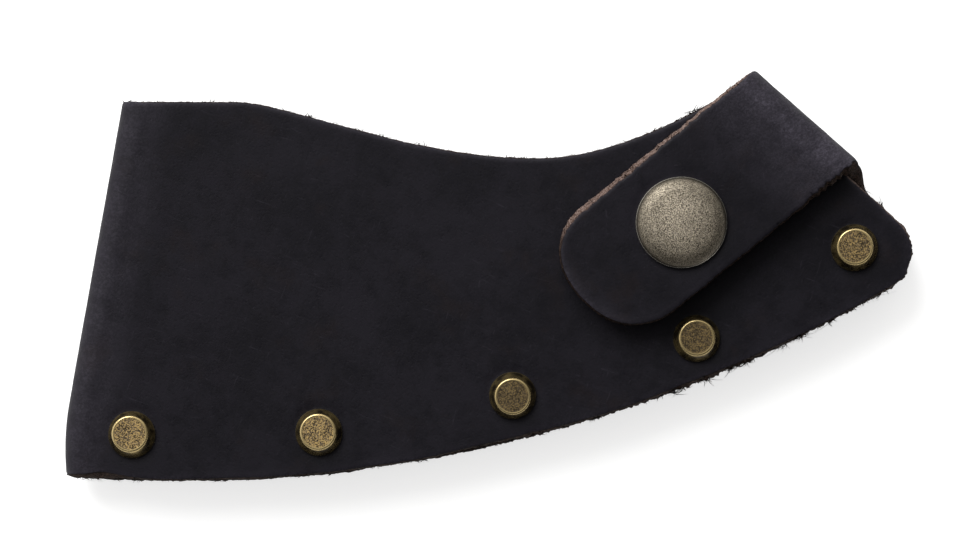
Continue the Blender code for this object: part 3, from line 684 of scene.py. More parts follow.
def strap_shape(flat, plan, distance):
    """The same for the strap; left is 1 on its left half, whose cut slants so that it shows from above.
    Its cut there is painted tan: partly undyed leather, partly a painted highlight where that edge faces the
    light.
    """
    u, s = flat @ STRAP_U, flat @ STRAP_N
    middle_u = (FLAP_LEFT_U + FLAP_RIGHT_U) / 2 + STRAP_SKEW * (FLAP_START_S - s)
    left = 1 - smooth(u - middle_u, -4, 4)
    near_fold = hill(s, FLAP_START_S + 2, 9)
    on_tip = smooth(s, TIP_S - 9, TIP_S - 3)
    radius = distance_from(SNAP_CENTRE, plan)
    above = s > FLAP_START_S
    cap_seat = above * pressed(radius, CAP_RADIUS, 1.0, CAP_DENT)
    socket_seat = above * 0.8 * (1 - smooth(radius, 6.3, 6.8))
    creases = 0.05 * near_fold * ripple(np.column_stack((u / 3, s)), 0.9, 14.0, 2)
    grain = grain_relief(flat) + cap_seat + creases
    wander = hand_cut(flat, 21.0)
    strong = smooth(s, ROOT_SEAM_S + 1, WALL_SEAM_S + 2)
    towards_tip = smooth(s, FLAP_START_S + 5, TIP_S - 16)
    left_slant = left * (0.36 + 0.34 * towards_tip - 0.6 * on_tip) * (1 + 0.35 * ripple(flat, 1.6, 41.0, 3))
    right_slant = (1 - left) * (0.12 + 0.55 * near_fold**2)
    slant = 0.10 + 0.25 * ripple(flat, 9.0, 31.0) * (1 - strong) + strong * (left_slant + right_slant)
    ragged = shagginess(flat) * strong * (0.35 + 0.5 * near_fold * (1 - left)) * (1 - 0.8 * on_tip)
    bend_wear = hill(s, FLAP_START_S - 1.6, 2.4) + 0.4 * hill(s, FLAP_START_S + 3, 5.5)
    root_wear = 0.8 * hill(s, ROOT_WORN_N, 2.0)
    edge_wear = 0.18 * np.exp(-distance / 0.3)
    edge_wear += 0.45 * smooth(s, TIP_S - 5, TIP_S - 1) * np.exp(-distance / 1.2)
    # The left half's cut is painted tan: partly undyed leather, partly a painted highlight where that edge
    # faces the light; it fades out at the tip.
    return {"grain": grain, "flesh": socket_seat + 0.04 * ripple(flat, 2.2, 8.0, 3),
            "top_out": wander - slant * strong + ragged, "foot_out": wander + slant * (1 - strong) + ragged,
            "wear": np.clip(bend_wear + root_wear + edge_wear, 0, 1),
            "raw": np.clip(left * (1 - on_tip) * strong + 0.03 + 0.12 * near_fold**2, 0, 1)}


def welt_shape(flat, plan, distance):
    """The welt stands out a little between the panels, unevenly."""
    wander = hand_cut(flat, 57.0)
    shaggy = shagginess(flat + 50) * towards_toe(flat)
    peek = 0.12 + 0.2 * ripple(flat, 6.0, 63.0) + 0.7 * shaggy
    outer = smooth(EDGE_RADIUS - np.linalg.norm(flat - EDGE_CENTRE, axis=1), 9, 3)
    relief = 0.04 * ripple(flat, 3.0, 17.0, 3)
    stand = wander + peek * outer
    return {"grain": relief, "flesh": -relief, "top_out": stand, "foot_out": stand,
            "wear": np.zeros(len(flat)), "raw": np.full(len(flat), 0.45)}


# ---------------------------------------------------------------- loose fibres

def fibres(name, edge_frame, count, chance_at, longest, look):
    """Loose fibres along a cut edge: thin tapering tubes that start inside the leather and curl outwards."""
    rows = np.flatnonzero(edge_frame["on_cut"])
    chances = np.clip(chance_at(edge_frame["flat"][rows], edge_frame["root"][rows]), 0.01, None)
    along = np.roll(edge_frame["root"], -1, axis=0) - np.roll(edge_frame["root"], 1, axis=0)
    chosen = CHANCE.choices(range(len(rows)), weights=chances.tolist(), k=count)
    stations, sides = 5, 3
    verts, faces, tones = [], [], []
    for pick in chosen:
        row = rows[pick]
        out = edge_frame["out"][row] / np.linalg.norm(edge_frame["out"][row])
        up = edge_frame["up"][row] / np.linalg.norm(edge_frame["up"][row])
        side = along[row] / np.linalg.norm(along[row])
        share = CHANCE.random()
        stand = edge_frame["top_out"][row] * (1 - share) + edge_frame["foot_out"][row] * share
        root = edge_frame["root"][row] + out * (stand - 0.06) + up * HALF * 0.9 * (1 - 2 * share)
        length = 0.3 + longest * CHANCE.random()**2.6 * min(float(chances[pick]), 2.0) * 0.8
        heading = out + side * CHANCE.gauss(0, 0.8) + up * CHANCE.gauss(0, 0.45)
        heading /= np.linalg.norm(heading)
        curl = side * CHANCE.gauss(0, 1.2) + up * CHANCE.gauss(0, 0.5) - out * CHANCE.uniform(0, 0.8)
        across = np.cross(heading, up + 0.01)
        across /= np.linalg.norm(across)
        lift = np.cross(heading, across)
        thick = CHANCE.uniform(0.05, 0.13)
        first = len(verts)
        for station in range(stations):
            t = station / (stations - 1)
            middle = root + length * (heading * t + curl * t * t * 0.6)
            radius = thick * (1 - 0.8 * t)
            for corner in range(sides):
                turn = 2 * math.pi * corner / sides
                verts.append(middle + radius * (across * math.cos(turn) + lift * math.sin(turn)))
        for station in range(stations - 1):
            low = first + station * sides
            for corner in range(sides):
                after = (corner + 1) % sides
                faces.append((low + corner, low + after, low + sides + after, low + sides + corner))
        faces.append(tuple(range(first, first + sides)))
        faces.append(tuple(reversed(range(len(verts) - sides, len(verts)))))
        tones += [CHANCE.random()] * (stations * sides)
    return write_mesh(name, verts, faces, look, {"tone": tones, "blank": verts})


# ---------------------------------------------------------------- turned hardware

def turned(name, profile, centre, look, segments=96, lean=(0.0, 0.0), lean_from=0.0, stippled=0.0,
           fading=0.05, tone=1.0):
    """Solid turned about an upright axis.

    The profile's entries are radius, height and how rubbed it is. Stippling fades out towards a radius, and
    tone is how bright the plating is, from 0 to 1, either everywhere or by radius: partly the plating's own
    tone, partly painted shade.
    """
    verts, rubs, stipple, tones, rings = [], [], [], [], []
    for radius, z, rub in profile:
        steps = segments if radius > 0 else 1
        shift = np.array(lean) * max(z - lean_from, 0.0)
        ring = []
        for step in range(steps):
            turn = 2 * math.pi * step / steps
            ring.append(len(verts))
            verts.append((radius * math.cos(turn) + shift[0], radius * math.sin(turn) + shift[1], z))
            rubs.append(rub)
            tones.append(tone(radius) if callable(tone) else tone)
            stipple.append(min(max((stippled - radius) / fading, 0.0), 1.0))
        rings.append(ring)
    if profile[0][0] > 0:
        rings.append(rings[0])
    faces = []
    for lower, upper in zip(rings, rings[1:]):
        for step in range(segments):
            after = (step + 1) % segments
            corners = [lower[step % len(lower)], lower[after % len(lower)],
                       upper[after % len(upper)], upper[step % len(upper)]]
            faces.append(tuple(dict.fromkeys(corners)))
    verts = np.array(verts)
    attributes = {"local": verts + np.array(centre) * (1, 1, 0), "rub": rubs, "stipple": stipple,
                  "tone": tones}
    result = write_mesh(name, verts, faces, look, attributes)
    result.data.set_sharp_from_angle(angle=math.radians(50))
    result.location = (centre[0] * MM, centre[1] * MM, 0)
    return result


# A rivet's cap from its underside to its top: radius, share of the cap's height, and how rubbed
RIVET_CAP = [(3.35, 0.05, 0), (3.76, 0.0, 0), (3.86, 0.04, 0.2), (3.88, 0.11, 0.4), (3.87, 0.17, 0.5),
             (3.84, 0.215, 0.2), (3.74, 0.305, 0.0), (3.6, 0.425, 0), (3.46, 0.545, 0), (3.33, 0.655, 0),
             (3.2, 0.765, 0), (3.11, 0.838, 0.05), (3.05, 0.885, 0.25), (3.01, 0.915, 0.6),
             (2.97, 0.942, 0.9),
             (2.92, 0.967, 1), (2.86, 0.986, 1), (2.79, 0.998, 1), (2.72, 1.0, 1), (2.66, 0.997, 0.9),
             (2.61, 0.992, 0.5), (2.55, 0.988, 0), (2.3, 0.986, 0), (1.5, 0.988, 0), (0.7, 0.99, 0),
             (0.0, 0.99, 0)]


def raised(shape, base, rise, rubbed=1.0):
    """Profile of a shape whose heights are shares of a rise from base; a negative rise faces down."""
    return [(radius, base + share * rise, rub * rubbed) for radius, share, rub in shape]


def make_rivets(look):
    pieces = []
    for index in RIVETS:
        low, high = node_box(f"rivet_front_{index}")
        centre = RIVET_CENTRES[index - 1]
        base = FRONT_TOP - 0.05
        bore_end = FRONT_TOP - GAP
        inner = [(0, bore_end, 0), (0.95, bore_end, 0), (0.95, low[2], 0), (1.4, low[2], 0), (1.4, base, 0)]
        # Each rivet's tone is partly painted shade: lower on the rivets that stand in less light.
        cap = turned(f"rivet_cap_{index}", inner + raised(RIVET_CAP, base, high[2] - base), centre, look,
                     lean=RIVET_LEAN[index - 1], lean_from=base, stippled=RIVET_STIPPLE_RADIUS,
                     tone=RIVET_TONE_AND_SHADE[index - 1])
        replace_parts(cap, f"rivet_front_{index}")
        back_low, back_high = node_box(f"rivet_back_{index}")
        base = MARGIN_HEIGHT + 0.05
        inner = [(0, back_high[2], 0), (0.65, back_high[2], 0), (0.65, base, 0)]
        back = raised(RIVET_CAP, base, back_low[2] - base, 0.5)
        post = turned(f"rivet_post_{index}", inner + back, centre, look, stippled=RIVET_STIPPLE_RADIUS,
                      tone=RIVET_TONE_AND_SHADE[index - 1])
        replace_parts(post, f"rivet_back_{index}")
        pieces += [cap, post]
    return pieces


def make_snap_cap(look):
    low, high = node_box("snap_cap")
    base = FLAP_TOP - 0.02
    rise = high[2] - base
    side = [(1.7, 0.0, 0), (6.9, 0.0, 0), (7.25, 0.02, 0.2), (7.42, 0.08, 0.6), (7.5, 0.17, 0.8),
            (7.49, 0.23, 1), (7.46, 0.27, 1), (7.41, 0.29, 0.8), (7.36, 0.315, 0), (7.25, 0.38, 0),
            (7.05, 0.475, 0), (6.85, 0.55, 0), (6.6, 0.622, 0), (6.3, 0.687, 0), (6.0, 0.738, 0),
            (5.7, 0.777, 0), (5.4, 0.806, 0)]
    dome = [(radius, 0.79 + 0.17 * (1 - (radius / 5.7)**2), 0) for radius in np.linspace(5.1, 0, 12)]
    profile = [(0, low[2], 0), (1.7, low[2], 0)]
    profile += raised(side + dome, base, rise)
    # The cap's tone falls towards its edge: painted shade that dims the reflection on its slope, with some
    # antiquing.
    cap = turned("snap_dome", profile, SNAP_CENTRE, look, segments=160,
                 stippled=CAP_STIPPLE_RADIUS, fading=CAP_STIPPLE_FADING,
                 tone=lambda radius: np.interp(radius, CAP_TONE_AND_SHADE_AT, CAP_TONE_AND_SHADE))
    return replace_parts(cap, "snap_cap")


def make_snap_socket(look):
    low, high = node_box("snap_socket")
    floor, top = low[2], high[2]
    ceiling = top - 0.55
    profile = [(2.0, top, 0), (2.0, ceiling, 0), (3.6, ceiling, 0), (3.6, floor + 0.4, 0),
               (3.45, floor + 0.38, 0), (2.72, floor + 0.4, 0.3), (2.6, floor + 0.3, 0.8),
               (2.6, floor + 0.1, 0.9), (2.68, floor, 1), (4.1, floor, 0.7), (4.35, floor + 0.05, 0.8),
               (4.58, floor + 0.2, 0.9), (4.7, floor + 0.45, 0.6),
               (4.7, top - 0.5, 0), (4.8, top - 0.42, 0), (6.2, top - 0.4, 0.4), (6.3, top - 0.3, 0.6),
               (6.3, top - 0.08, 0.2), (6.2, top, 0)]
    socket = turned("snap_ring_socket", profile, SNAP_CENTRE, look)
    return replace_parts(socket, "snap_socket")


def make_snap_stud(look):
    low, high = node_box("snap_stud")
    base, rise = low[2], high[2] - low[2]
    shape = [(5.05, 0.0, 0), (5.2, 0.06, 0.4), (5.2, 0.13, 0.7), (5.05, 0.2, 0.6), (4.6, 0.25, 0.2),
             (2.3, 0.26, 0), (1.95, 0.29, 0), (1.8, 0.36, 0), (1.8, 0.46, 0), (1.95, 0.53, 0.2),
             (2.1, 0.6, 0.8), (2.12, 0.68, 1), (2.05, 0.77, 1), (1.85, 0.86, 0.8), (1.5, 0.93, 0.5),
             (1.0, 0.975, 0.3), (0.5, 0.995, 0.2), (0, 1.0, 0.2)]
    bore_end = base + 1.5
    profile = [(0, bore_end, 0), (1.2, bore_end, 0), (1.2, base, 0)]
    profile += raised(shape, base, rise)
    stud = turned("snap_ball_stud", profile, SNAP_CENTRE, look)
    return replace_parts(stud, "snap_stud")


def make_snap_eyelet(look):
    low, high = node_box("snap_eyelet")
    seat = FRONT_TOP - LEATHER + 0.02
    head = low[2]
    profile = [(0, high[2], 0), (0.9, high[2], 0), (0.9, seat, 0), (4.3, seat, 0), (4.48, seat - 0.06, 0.6),
               (4.5, seat - 0.16, 0.9), (4.42, seat - 0.3, 0.9), (4.1, head + 0.08, 0.6), (3.6, head, 0.3),
               (2.0, head + 0.03, 0.1), (0, head + 0.05, 0.1)]
    eyelet = turned("snap_pin_head", profile, SNAP_CENTRE, look)
    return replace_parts(eyelet, "snap_eyelet")


def make_snap_spring(look):
    """Open wire ring in the socket, a little opened out, with rounded ends."""
    low, high = node_box("snap_spring")
    height = (low[2] + high[2]) / 2
    wire, ring_radius = (high[2] - low[2]) / 2, 2.6
    verts, faces, stations, sides = [], [], 72, 14
    ends = 4
    sweep = math.radians(310)
    for step in range(stations + 1):
        turn = sweep * step / stations
        taper = min(step, stations - step, ends) / ends
        thick = wire * math.sqrt(max(1 - (1 - taper)**2, 0.02))
        for side in range(sides):
            around = 2 * math.pi * side / sides
            radius = ring_radius + thick * math.cos(around)
            verts.append((SNAP_CENTRE[0] + radius * math.cos(turn), SNAP_CENTRE[1] + radius * math.sin(turn),
                          height + thick * math.sin(around)))
    for step in range(stations):
        for side in range(sides):
            after = (side + 1) % sides
            row = step * sides
            faces.append((row + side, row + after, row + sides + after, row + sides + side))
    faces += [tuple(range(sides)), tuple(range(stations * sides, (stations + 1) * sides))]
    spring = write_mesh("snap_wire_ring", verts, faces, look, {"local": verts})
    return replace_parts(spring, "snap_spring")


# ---------------------------------------------------------------- materials

def new_look(name, roughness, metallic=0.0, specular=0.5, sheen=0.0):
    """Material whose plain values sit on the shader itself."""
    look = bpy.data.materials.new(name)
    look.use_nodes = True
    shader = look.node_tree.nodes["Principled BSDF"]
    shader.inputs["Roughness"].default_value = roughness
    shader.inputs["Metallic"].default_value = metallic
    shader.inputs["Specular IOR Level"].default_value = specular
    shader.inputs["Sheen Weight"].default_value = sheen
    shader.inputs["Sheen Roughness"].default_value = 0.6
    return look, look.node_tree, shader


def add(tree, kind, **inputs):
    """New node, with sockets linked and plain values set by input name."""
    node = tree.nodes.new(kind)
    for label, value in inputs.items():
        socket = node.inputs[label.replace("_", " ")]
        if isinstance(value, bpy.types.NodeSocket):
            tree.links.new(value, socket)
        else:
            socket.default_value = value
    return node


def attribute(tree, name, output="Fac"):
    node = tree.nodes.new("ShaderNodeAttribute")
    node.attribute_name = name
    return node.outputs[output]


def speckle(tree, place, scale, detail=2.0, rough=0.5, squeeze=(1, 1, 1), offset=0.0, distortion=0.0):
    """Noise from 0 to 1 with features of 1 / scale millimetres."""
    moved = add(tree, "ShaderNodeMapping", Vector=place, Location=(offset, offset, offset), Scale=squeeze)
    node = add(tree, "ShaderNodeTexNoise", Vector=moved.outputs[0], Scale=scale, Detail=detail,
               Roughness=rough, Distortion=distortion)
    return node.outputs["Fac"]


def between(tree, value, low, high, to_low=0.0, to_high=1.0):
    """Smooth ramp from to_low to to_high as value goes from low to high."""
    node = tree.nodes.new("ShaderNodeMapRange")
    node.interpolation_type = "SMOOTHSTEP"
    for label, number in (("From Min", low), ("From Max", high), ("To Min", to_low), ("To Max", to_high)):
        node.inputs[label].default_value = number
    tree.links.new(value, node.inputs["Value"])
    return node.outputs["Result"]


def calculate(tree, operation, first, second, clamp=False):
    node = tree.nodes.new("ShaderNodeMath")
    node.operation = operation
    node.use_clamp = clamp
    for index, value in enumerate((first, second)):
        if isinstance(value, bpy.types.NodeSocket):
            tree.links.new(value, node.inputs[index])
        else:
            node.inputs[index].default_value = value
    return node.outputs[0]


def weighted(tree, *parts):
    """Sum of values, each times its share."""
    result = None
    for value, share in parts:
        term = calculate(tree, "MULTIPLY", value, share)
        result = calculate(tree, "ADD", result, term) if result else term
    return result


def tint(tree, share, first, second):
    """Colour from first to second by share."""
    node = tree.nodes.new("ShaderNodeMix")
    node.data_type = "RGBA"
    for index, value in ((0, share), (6, first), (7, second)):
        if isinstance(value, bpy.types.NodeSocket):
            tree.links.new(value, node.inputs[index])
        elif index:
            node.inputs[index].default_value = (*value, 1.0)
        else:
            node.inputs[index].default_value = value
    return node.outputs[2]


def bumped(tree, shader, height, distance, strength):
    node = add(tree, "ShaderNodeBump", Height=height, Distance=distance * MM, Strength=strength)
    tree.links.new(node.outputs[0], shader.inputs["Normal"])


GRAIN_DARK = (0.0034, 0.0029, 0.0050)
GRAIN_LIGHT = (0.0074, 0.0064, 0.0098)
GRAIN_BROWN = (0.0082, 0.0054, 0.0062)
GRAIN_WORN = (0.058, 0.052, 0.068)
CUT_DARK = (0.0050, 0.0034, 0.0028)
CUT_BROWN = (0.052, 0.028, 0.019)
CUT_TAN = (0.205, 0.150, 0.132)
FLESH_DARK = (0.014, 0.010, 0.009)
FLESH_LIGHT = (0.050, 0.036, 0.030)


def leather_look(name):
    """Dark waxed leather: mottled grain, rubbed bends, brown fibrous cut edges and a napped flesh side."""
    look, tree, shader = new_look(name, 0.6, specular=0.12)
    place = attribute(tree, "blank", "Vector")
    cut = attribute(tree, "cut")
    depth = attribute(tree, "depth")
    wear = attribute(tree, "wear")
    raw = attribute(tree, "raw")

    slow = speckle(tree, place, 0.055, 3)
    patchy = speckle(tree, place, 0.4, 4, 0.6)
    fine = speckle(tree, place, 2.6, 3, 0.65)
    mottle = weighted(tree, (slow, 0.4), (patchy, 0.34), (fine, 0.26))
    grain = tint(tree, between(tree, mottle, 0.4, 0.6), GRAIN_DARK, GRAIN_LIGHT)
    russet = between(tree, speckle(tree, place, 0.13, 5, 0.65, offset=31.0), 0.54, 0.72, 0.0, 0.5)
    grain = tint(tree, russet, grain, GRAIN_BROWN)
    grit = between(tree, speckle(tree, place, 3.8, 3, 0.75, squeeze=(1, 0.7, 1), offset=7.0), 0.42, 0.64)
    broad = between(tree, speckle(tree, place, 0.3, 4, 0.65, offset=17.0), 0.34, 0.66, 0.5, 0.95)
    rubbed = calculate(tree, "MULTIPLY", calculate(tree, "MULTIPLY", wear, broad),
                       calculate(tree, "ADD", calculate(tree, "MULTIPLY", grit, 0.55), 0.4), clamp=True)
    streaks = speckle(tree, place, 0.8, 4, 0.7, squeeze=(0.25, 2.2, 1), offset=3.0, distortion=0.5)
    scuffs = between(tree, streaks, 0.62, 0.74, 0.0, 0.16)
    short = speckle(tree, place, 0.9, 3, 0.7, squeeze=(2.4, 0.35, 1), offset=43.0, distortion=0.5)
    nicks = between(tree, short, 0.64, 0.74, 0.0, 0.14)
    rubbed = calculate(tree, "MAXIMUM", rubbed, calculate(tree, "MAXIMUM", scuffs, nicks))
    grain = tint(tree, rubbed, grain, GRAIN_WORN)

    nap = between(tree, speckle(tree, place, 1.5, 4, 0.7, squeeze=(1, 0.5, 1)), 0.35, 0.65)
    flesh = tint(tree, nap, FLESH_DARK, FLESH_LIGHT)
    fibrous = speckle(tree, place, 2.6, 4, 0.8, squeeze=(1, 1, 1.6), distortion=0.6)
    strands = between(tree, fibrous, 0.42, 0.66)
    brown = tint(tree, strands, CUT_DARK, CUT_BROWN)
    # Tan where the cut is undyed; on the strap's left edge this tan is partly a painted highlight.
    tan = tint(tree, between(tree, strands, 0.0, 0.7), CUT_BROWN, CUT_TAN)
    core = tint(tree, raw, brown, tan)
    dyed = calculate(tree, "MULTIPLY", between(tree, depth, 0.0, 0.2, 1.0, 0.0), 0.75)
    core = tint(tree, dyed, core, GRAIN_DARK)

    face = tint(tree, between(tree, depth, 0.9, 1.0), grain, flesh)
    ragged = calculate(tree, "ADD", cut, calculate(tree, "MULTIPLY", strands, 0.35))
    colour = tint(tree, between(tree, ragged, 0.55, 0.95), face, core)
    tree.links.new(colour, shader.inputs["Base Color"])

    rough_cut = between(tree, cut, 0.2, 0.9, 0.0, 0.35)
    rough = calculate(tree, "ADD", between(tree, patchy, 0.3, 0.7, 0.5, 0.66), rough_cut)
    rough = calculate(tree, "ADD", rough, calculate(tree, "MULTIPLY", rubbed, 0.15), clamp=True)
    tree.links.new(rough, shader.inputs["Roughness"])

    pores = add(tree, "ShaderNodeTexVoronoi", Vector=place, Scale=1.5, Randomness=1.0).outputs["Distance"]
    tufts = calculate(tree, "MULTIPLY", strands, cut)
    relief = weighted(tree, (between(tree, pores, 0.0, 0.45), 0.35), (fine, 0.65), (tufts, 1.6))
    bumped(tree, shader, relief, 0.09, 0.45)
    return look


def fibre_look():
    look, tree, shader = new_look("leather_fibres", 0.9, specular=0.05)
    tone = attribute(tree, "tone")
    colour = tint(tree, between(tree, tone, 0.5, 1.0, 0.0, 0.5), CUT_DARK, CUT_BROWN)
    tree.links.new(colour, shader.inputs["Base Color"])
    return look


def raw_look():
    """Undyed welt leather, darkened by wax and handling."""
    look, tree, shader = new_look("welt_raw_leather", 0.85, specular=0.25, sheen=0.1)
    place = attribute(tree, "blank", "Vector")
    fibrous = speckle(tree, place, 1.3, 4, 0.75, squeeze=(1, 1, 1.8), distortion=0.5)
    strands = between(tree, fibrous, 0.34, 0.64)
    stain = between(tree, speckle(tree, place, 0.3, 3, 0.6), 0.35, 0.65)
    colour = tint(tree, strands, CUT_DARK, CUT_BROWN)
    colour = tint(tree, calculate(tree, "MULTIPLY", stain, 0.6), colour, GRAIN_BROWN)
    tree.links.new(colour, shader.inputs["Base Color"])
    bumped(tree, shader, strands, 0.15, 0.7)
    return look


BRASS = {"rim": (0.56, 0.43, 0.205), "bright": (0.60, 0.42, 0.17), "middle": (0.23, 0.165, 0.08),
         "dark": (0.035, 0.026, 0.015), "side": (0.30, 0.225, 0.095), "grey": (0.22, 0.17, 0.12)}
NICKEL = {"rim": (0.68, 0.64, 0.55), "bright": (0.60, 0.53, 0.41), "middle": (0.25, 0.212, 0.16),
          "dark": (0.05, 0.042, 0.03), "side": (0.16, 0.14, 0.11), "grey": (0.27, 0.235, 0.20)}


def antique_look(name, colours, grain_scale):
    """Antiqued plating: stippled and dark in its pits, smooth and dark on its sides, bright where rubbed, and
    darkened by its tone, which holds painted shade as well as the plating's own tone.
    """
    look, tree, shader = new_look(name, 0.4, metallic=0.86)
    dark = colours["dark"]
    local = attribute(tree, "local", "Vector")
    rub = attribute(tree, "rub")
    stipple = attribute(tree, "stipple")
    tone = attribute(tree, "tone")
    grit = speckle(tree, local, grain_scale, 2, 0.6)
    cloud = speckle(tree, local, 0.5, 3, 0.6, offset=5.0)
    drift = between(tree, cloud, 0.3, 0.7, -0.12, 0.12)
    shine = calculate(tree, "ADD", between(tree, grit, 0.43, 0.57), drift, clamp=True)
    colour = tint(tree, between(tree, shine, 0.0, 0.55), dark, colours["middle"])
    colour = tint(tree, between(tree, shine, 0.55, 1.0), colour, colours["bright"])
    greyed = between(tree, speckle(tree, local, grain_scale * 0.6, 2, 0.6, offset=9.0), 0.46, 0.6, 0.0, 0.45)
    colour = tint(tree, greyed, colour, colours["grey"])
    smears = tint(tree, between(tree, cloud, 0.35, 0.65), colours["side"], dark)
    # Tone darkens the stippled plating: partly its own worn plating, partly painted shade on dimly lit caps
    # and on the snap cap's sloping edge.
    colour = tint(tree, stipple, smears, tint(tree, tone, dark, colour))
    rubbed = calculate(tree, "MULTIPLY", rub, between(tree, grit, 0.2, 0.5, 0.6, 1.0))
    colour = tint(tree, rubbed, colour, colours["rim"])
    # Tone darkens the whole piece again, more mildly, with the same painted shade in it.
    colour = tint(tree, between(tree, tone, 0.0, 1.0, 0.6, 1.0), dark, colour)
    tree.links.new(colour, shader.inputs["Base Color"])
    rough = calculate(tree, "ADD", between(tree, stipple, 0, 1, 0.2, 0.48),
                      between(tree, cloud, 0.3, 0.7, 0.0, 0.08))
    tree.links.new(rough, shader.inputs["Roughness"])
    bumped(tree, shader, calculate(tree, "MULTIPLY", grit, stipple), 0.03, 0.5)
    return look


def wire_look():
    look, tree, shader = new_look("spring_wire", 0.3, metallic=1.0)
    local = attribute(tree, "local", "Vector")
    drawn = speckle(tree, local, 2.5, 3, 0.6)
    tree.links.new(tint(tree, drawn, (0.30, 0.30, 0.31), (0.62, 0.62, 0.64)), shader.inputs["Base Color"])
    tree.links.new(between(tree, drawn, 0.3, 0.7, 0.22, 0.4), shader.inputs["Roughness"])
    return look


# ---------------------------------------------------------------- studio

CAMERA_HEIGHT = 0.6
CAMERA_LENS = 131.3
KEY_FROM = (-0.42, 0.72, 0.76)
KEY_SIZE = 0.8
KEY_POWER = 13.0
SKY_SIDE = (-0.53, 0.85, 0.0)
SKY_DIM = 0.10
SKY_BRIGHT = 1.3
FLOOR_WHITE = 0.55
FLOOR_GLOW = 0.7


def soft_light(name, place, size, power):
    light = bpy.data.lights.new(name, "AREA")
    light.shape = "DISK"
    light.size = size
    light.energy = power
    item = bpy.data.objects.new(name, light)
    item.location = place
    item.rotation_euler = (-Vector(place)).to_track_quat("-Z", "Y").to_euler()
    bpy.context.scene.collection.objects.link(item)


def make_world():
    """Soft dome, bright on the key light's side and dim on the other."""
    world = bpy.data.worlds.new("studio")
    bpy.context.scene.world = world
    world.use_nodes = True
    tree = world.node_tree
    direction = add(tree, "ShaderNodeTexCoord").outputs["Generated"]
    side = tree.nodes.new("ShaderNodeVectorMath")
    side.operation = "DOT_PRODUCT"
    tree.links.new(direction, side.inputs[0])
    side.inputs[1].default_value = SKY_SIDE
    strength = between(tree, side.outputs["Value"], -0.35, 0.75, SKY_DIM, SKY_BRIGHT)
    tree.links.new(strength, tree.nodes["Background"].inputs["Strength"])
    tree.nodes["Background"].inputs["Color"].default_value = (1.0, 0.99, 0.97, 1.0)


def make_floor():
    """White table, lit softly from below so that it stays pale beside the object."""
    bm = bmesh.new()
    bmesh.ops.create_grid(bm, x_segments=1, y_segments=1, size=3.0)
    mesh = bpy.data.meshes.new("floor")
    bm.to_mesh(mesh)
    bm.free()
    look, _, shader = new_look("floor_white", 0.8, specular=0.2)
    shader.inputs["Base Color"].default_value = (FLOOR_WHITE, FLOOR_WHITE, FLOOR_WHITE, 1.0)
    shader.inputs["Emission Color"].default_value = (1.0, 1.0, 1.0, 1.0)
    shader.inputs["Emission Strength"].default_value = FLOOR_GLOW
    mesh.materials.append(look)
    floor = bpy.data.objects.new("floor", mesh)
    floor.location = (0, 0, -0.00005)
    bpy.context.scene.collection.objects.link(floor)


def make_camera():
    bpy.context.scene.view_settings.view_transform = "Standard"
    camera = bpy.data.cameras.new("camera")
    camera.lens = CAMERA_LENS
    camera.clip_start = 0.01
    item = bpy.data.objects.new("camera", camera)
    item.location = (0, 0, CAMERA_HEIGHT)
    bpy.context.scene.collection.objects.link(item)
    bpy.context.scene.camera = item


# ---------------------------------------------------------------- assembly

def no_seam(flat):
    return np.zeros(len(flat), bool)


def fold_zone(flat):
    c, _ = fold_coordinates(flat)
    return (c > -2) & (c < FOLD_LENGTH + 2)


def body_zone(flat):
    return fold_zone(flat) | (flat @ STRAP_N > BEND_N - 1.5)


def body_seam(flat):
    return flat @ STRAP_N > ROOT_SEAM_S - SEAM_REACH


def link_seam(flat):
    s = flat @ STRAP_N
    return (s < ROOT_SEAM_S + SEAM_REACH) | (s > WALL_SEAM_S - SEAM_REACH)


def flap_seam(flat):
    return flat @ STRAP_N < WALL_SEAM_S + SEAM_REACH


def flap_zone(flat):
    return flat @ STRAP_N < FLAP_START_S + 1.5


def all_fine(flat):
    return np.ones(len(flat), bool)


def blend_span(first_s, last_s, heading):
    """Both ends of a blend, in metres, from first_s on the strap's flesh face as far as last_s reaches.

    heading is the blend's direction: how far out from the mask, and how far up.
    """
    first_n, first_z = strap_section(np.array([first_s]), np.array([-HALF]))
    last_n, last_z = strap_section(np.array([last_s]), np.array([-HALF]))
    reach = (last_n[0] - first_n[0]) * heading[0] + (last_z[0] - first_z[0]) * heading[1]
    plan = STRAP_U * (FLAP_LEFT_U + FLAP_RIGHT_U) / 2 + STRAP_N * first_n[0]
    start = Vector((*plan, first_z[0]))
    return start * MM, (start + Vector((*(STRAP_N * heading[0]), heading[1])) * reach) * MM


def make_mask(body_look, welt_look):
    body, body_edge = leather_sheet("mask_body", body_outline(), bend_body, body_shape, body_look,
                                    body_seam, body_zone)
    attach(body, "sheath")
    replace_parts(body, "leather_body")
    welt, welt_edge = leather_sheet("mask_welt", welt_outline(), lay_welt, welt_shape, welt_look,
                                    no_seam, no_seam)
    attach(welt, "sheath")
    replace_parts(welt, "edge_welt")
    return body_edge, welt_edge


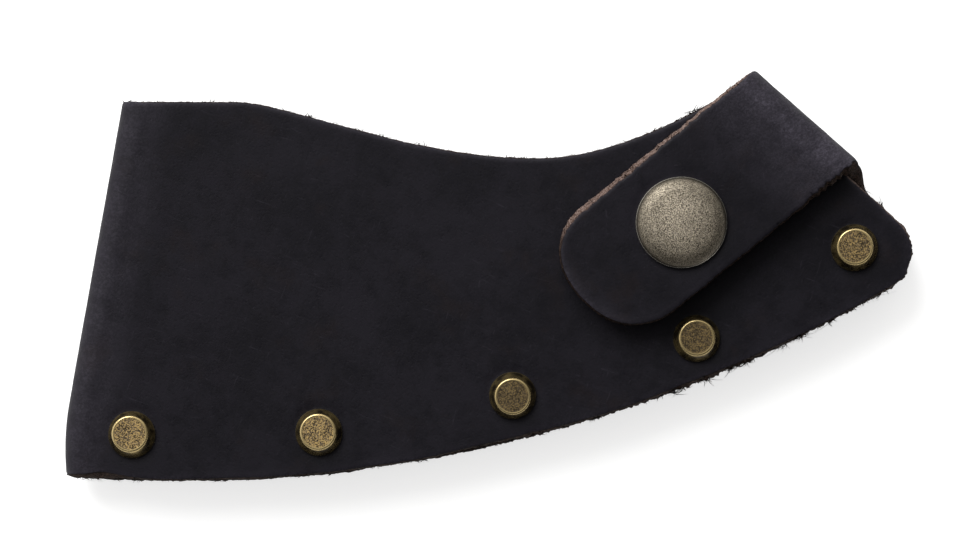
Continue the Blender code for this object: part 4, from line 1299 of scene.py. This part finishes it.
def make_strap(look):
    link, _ = leather_sheet("strap_wall", strip_outline(ROOT_SEAM_S, WALL_SEAM_S), bend_strap,
                            strap_shape, look, link_seam, all_fine)
    turn = math.radians(ROOT_SEAM_DEG)
    heading = (math.cos(turn), math.sin(turn))
    blend_span(ROOT_SEAM_S, WALL_SEAM_S, heading)
    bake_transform(link)
    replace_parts(link, "strap_bend")

    flap, flap_edge = leather_sheet("strap_flap_leather", flap_outline(), bend_strap, strap_shape, look,
                                    flap_seam, flap_zone)
    heading = (-math.sqrt(0.5), math.sqrt(0.5))
    blend_span(UPPER_BLEND_S, FLAP_START_S, heading)
    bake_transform(flap)
    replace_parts(flap, "strap_flap")
    return flap_edge


def body_chance(flat, root):
    """More fibres along the mouth and towards the toe, few along the fold's ends and the toe's side."""
    mouth = 0.5 + 0.5 * (root[:, 1] > 15)
    toe = smooth(root[:, 0], 5, 60) * (root[:, 1] < 15)
    clump = np.clip(ripple(flat, 2.5, 71.0, 2), 0, None)
    side = smooth(root[:, 0], 64, 67) * smooth(root[:, 1], -9, -6)
    return (mouth + 1.5 * toe) * (0.12 + 2.4 * clump) * (1 - 0.9 * side)


def flap_chance(flat, root):
    """Clumps of fibres, only past the strap's upper bend."""
    clump = np.clip(ripple(flat, 4.0, 81.0, 2) + 0.2, 0, None)
    return (flat @ STRAP_N > WALL_SEAM_S + 6) * (0.2 + 1.2 * clump)


def make_leather():
    body_edge, welt_edge = make_mask(leather_look("body_leather"), raw_look())
    flap_edge = make_strap(leather_look("strap_leather"))
    loose = fibre_look()
    for name, edge, count, chance, longest, body_name, slot in (
            ("body_fibres", body_edge, 2400, body_chance, 1.3, "sheath", "leather_body"),
            ("welt_fibres", welt_edge, 700, body_chance, 1.3, "sheath", "welt"),
            ("flap_fibres", flap_edge, 600, flap_chance, 0.7, "flap", "strap")):
        piece = fibres(name, edge, count, chance, longest, loose)
        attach(piece, body_name)


def make_hardware():
    brass = antique_look("antique_brass", BRASS, 5.2)
    nickel = antique_look("antique_nickel", NICKEL, 6.2)
    for piece in make_rivets(brass):
        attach(piece, "sheath")
    for piece in (make_snap_stud(nickel), make_snap_eyelet(nickel)):
        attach(piece, "sheath")
    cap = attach(make_snap_cap(nickel), "flap")
    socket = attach(make_snap_socket(nickel), "flap")
    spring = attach(make_snap_spring(wire_look()), "flap")


make_camera()
make_world()
make_floor()
soft_light("key", KEY_FROM, KEY_SIZE, KEY_POWER)
make_leather()
make_hardware()
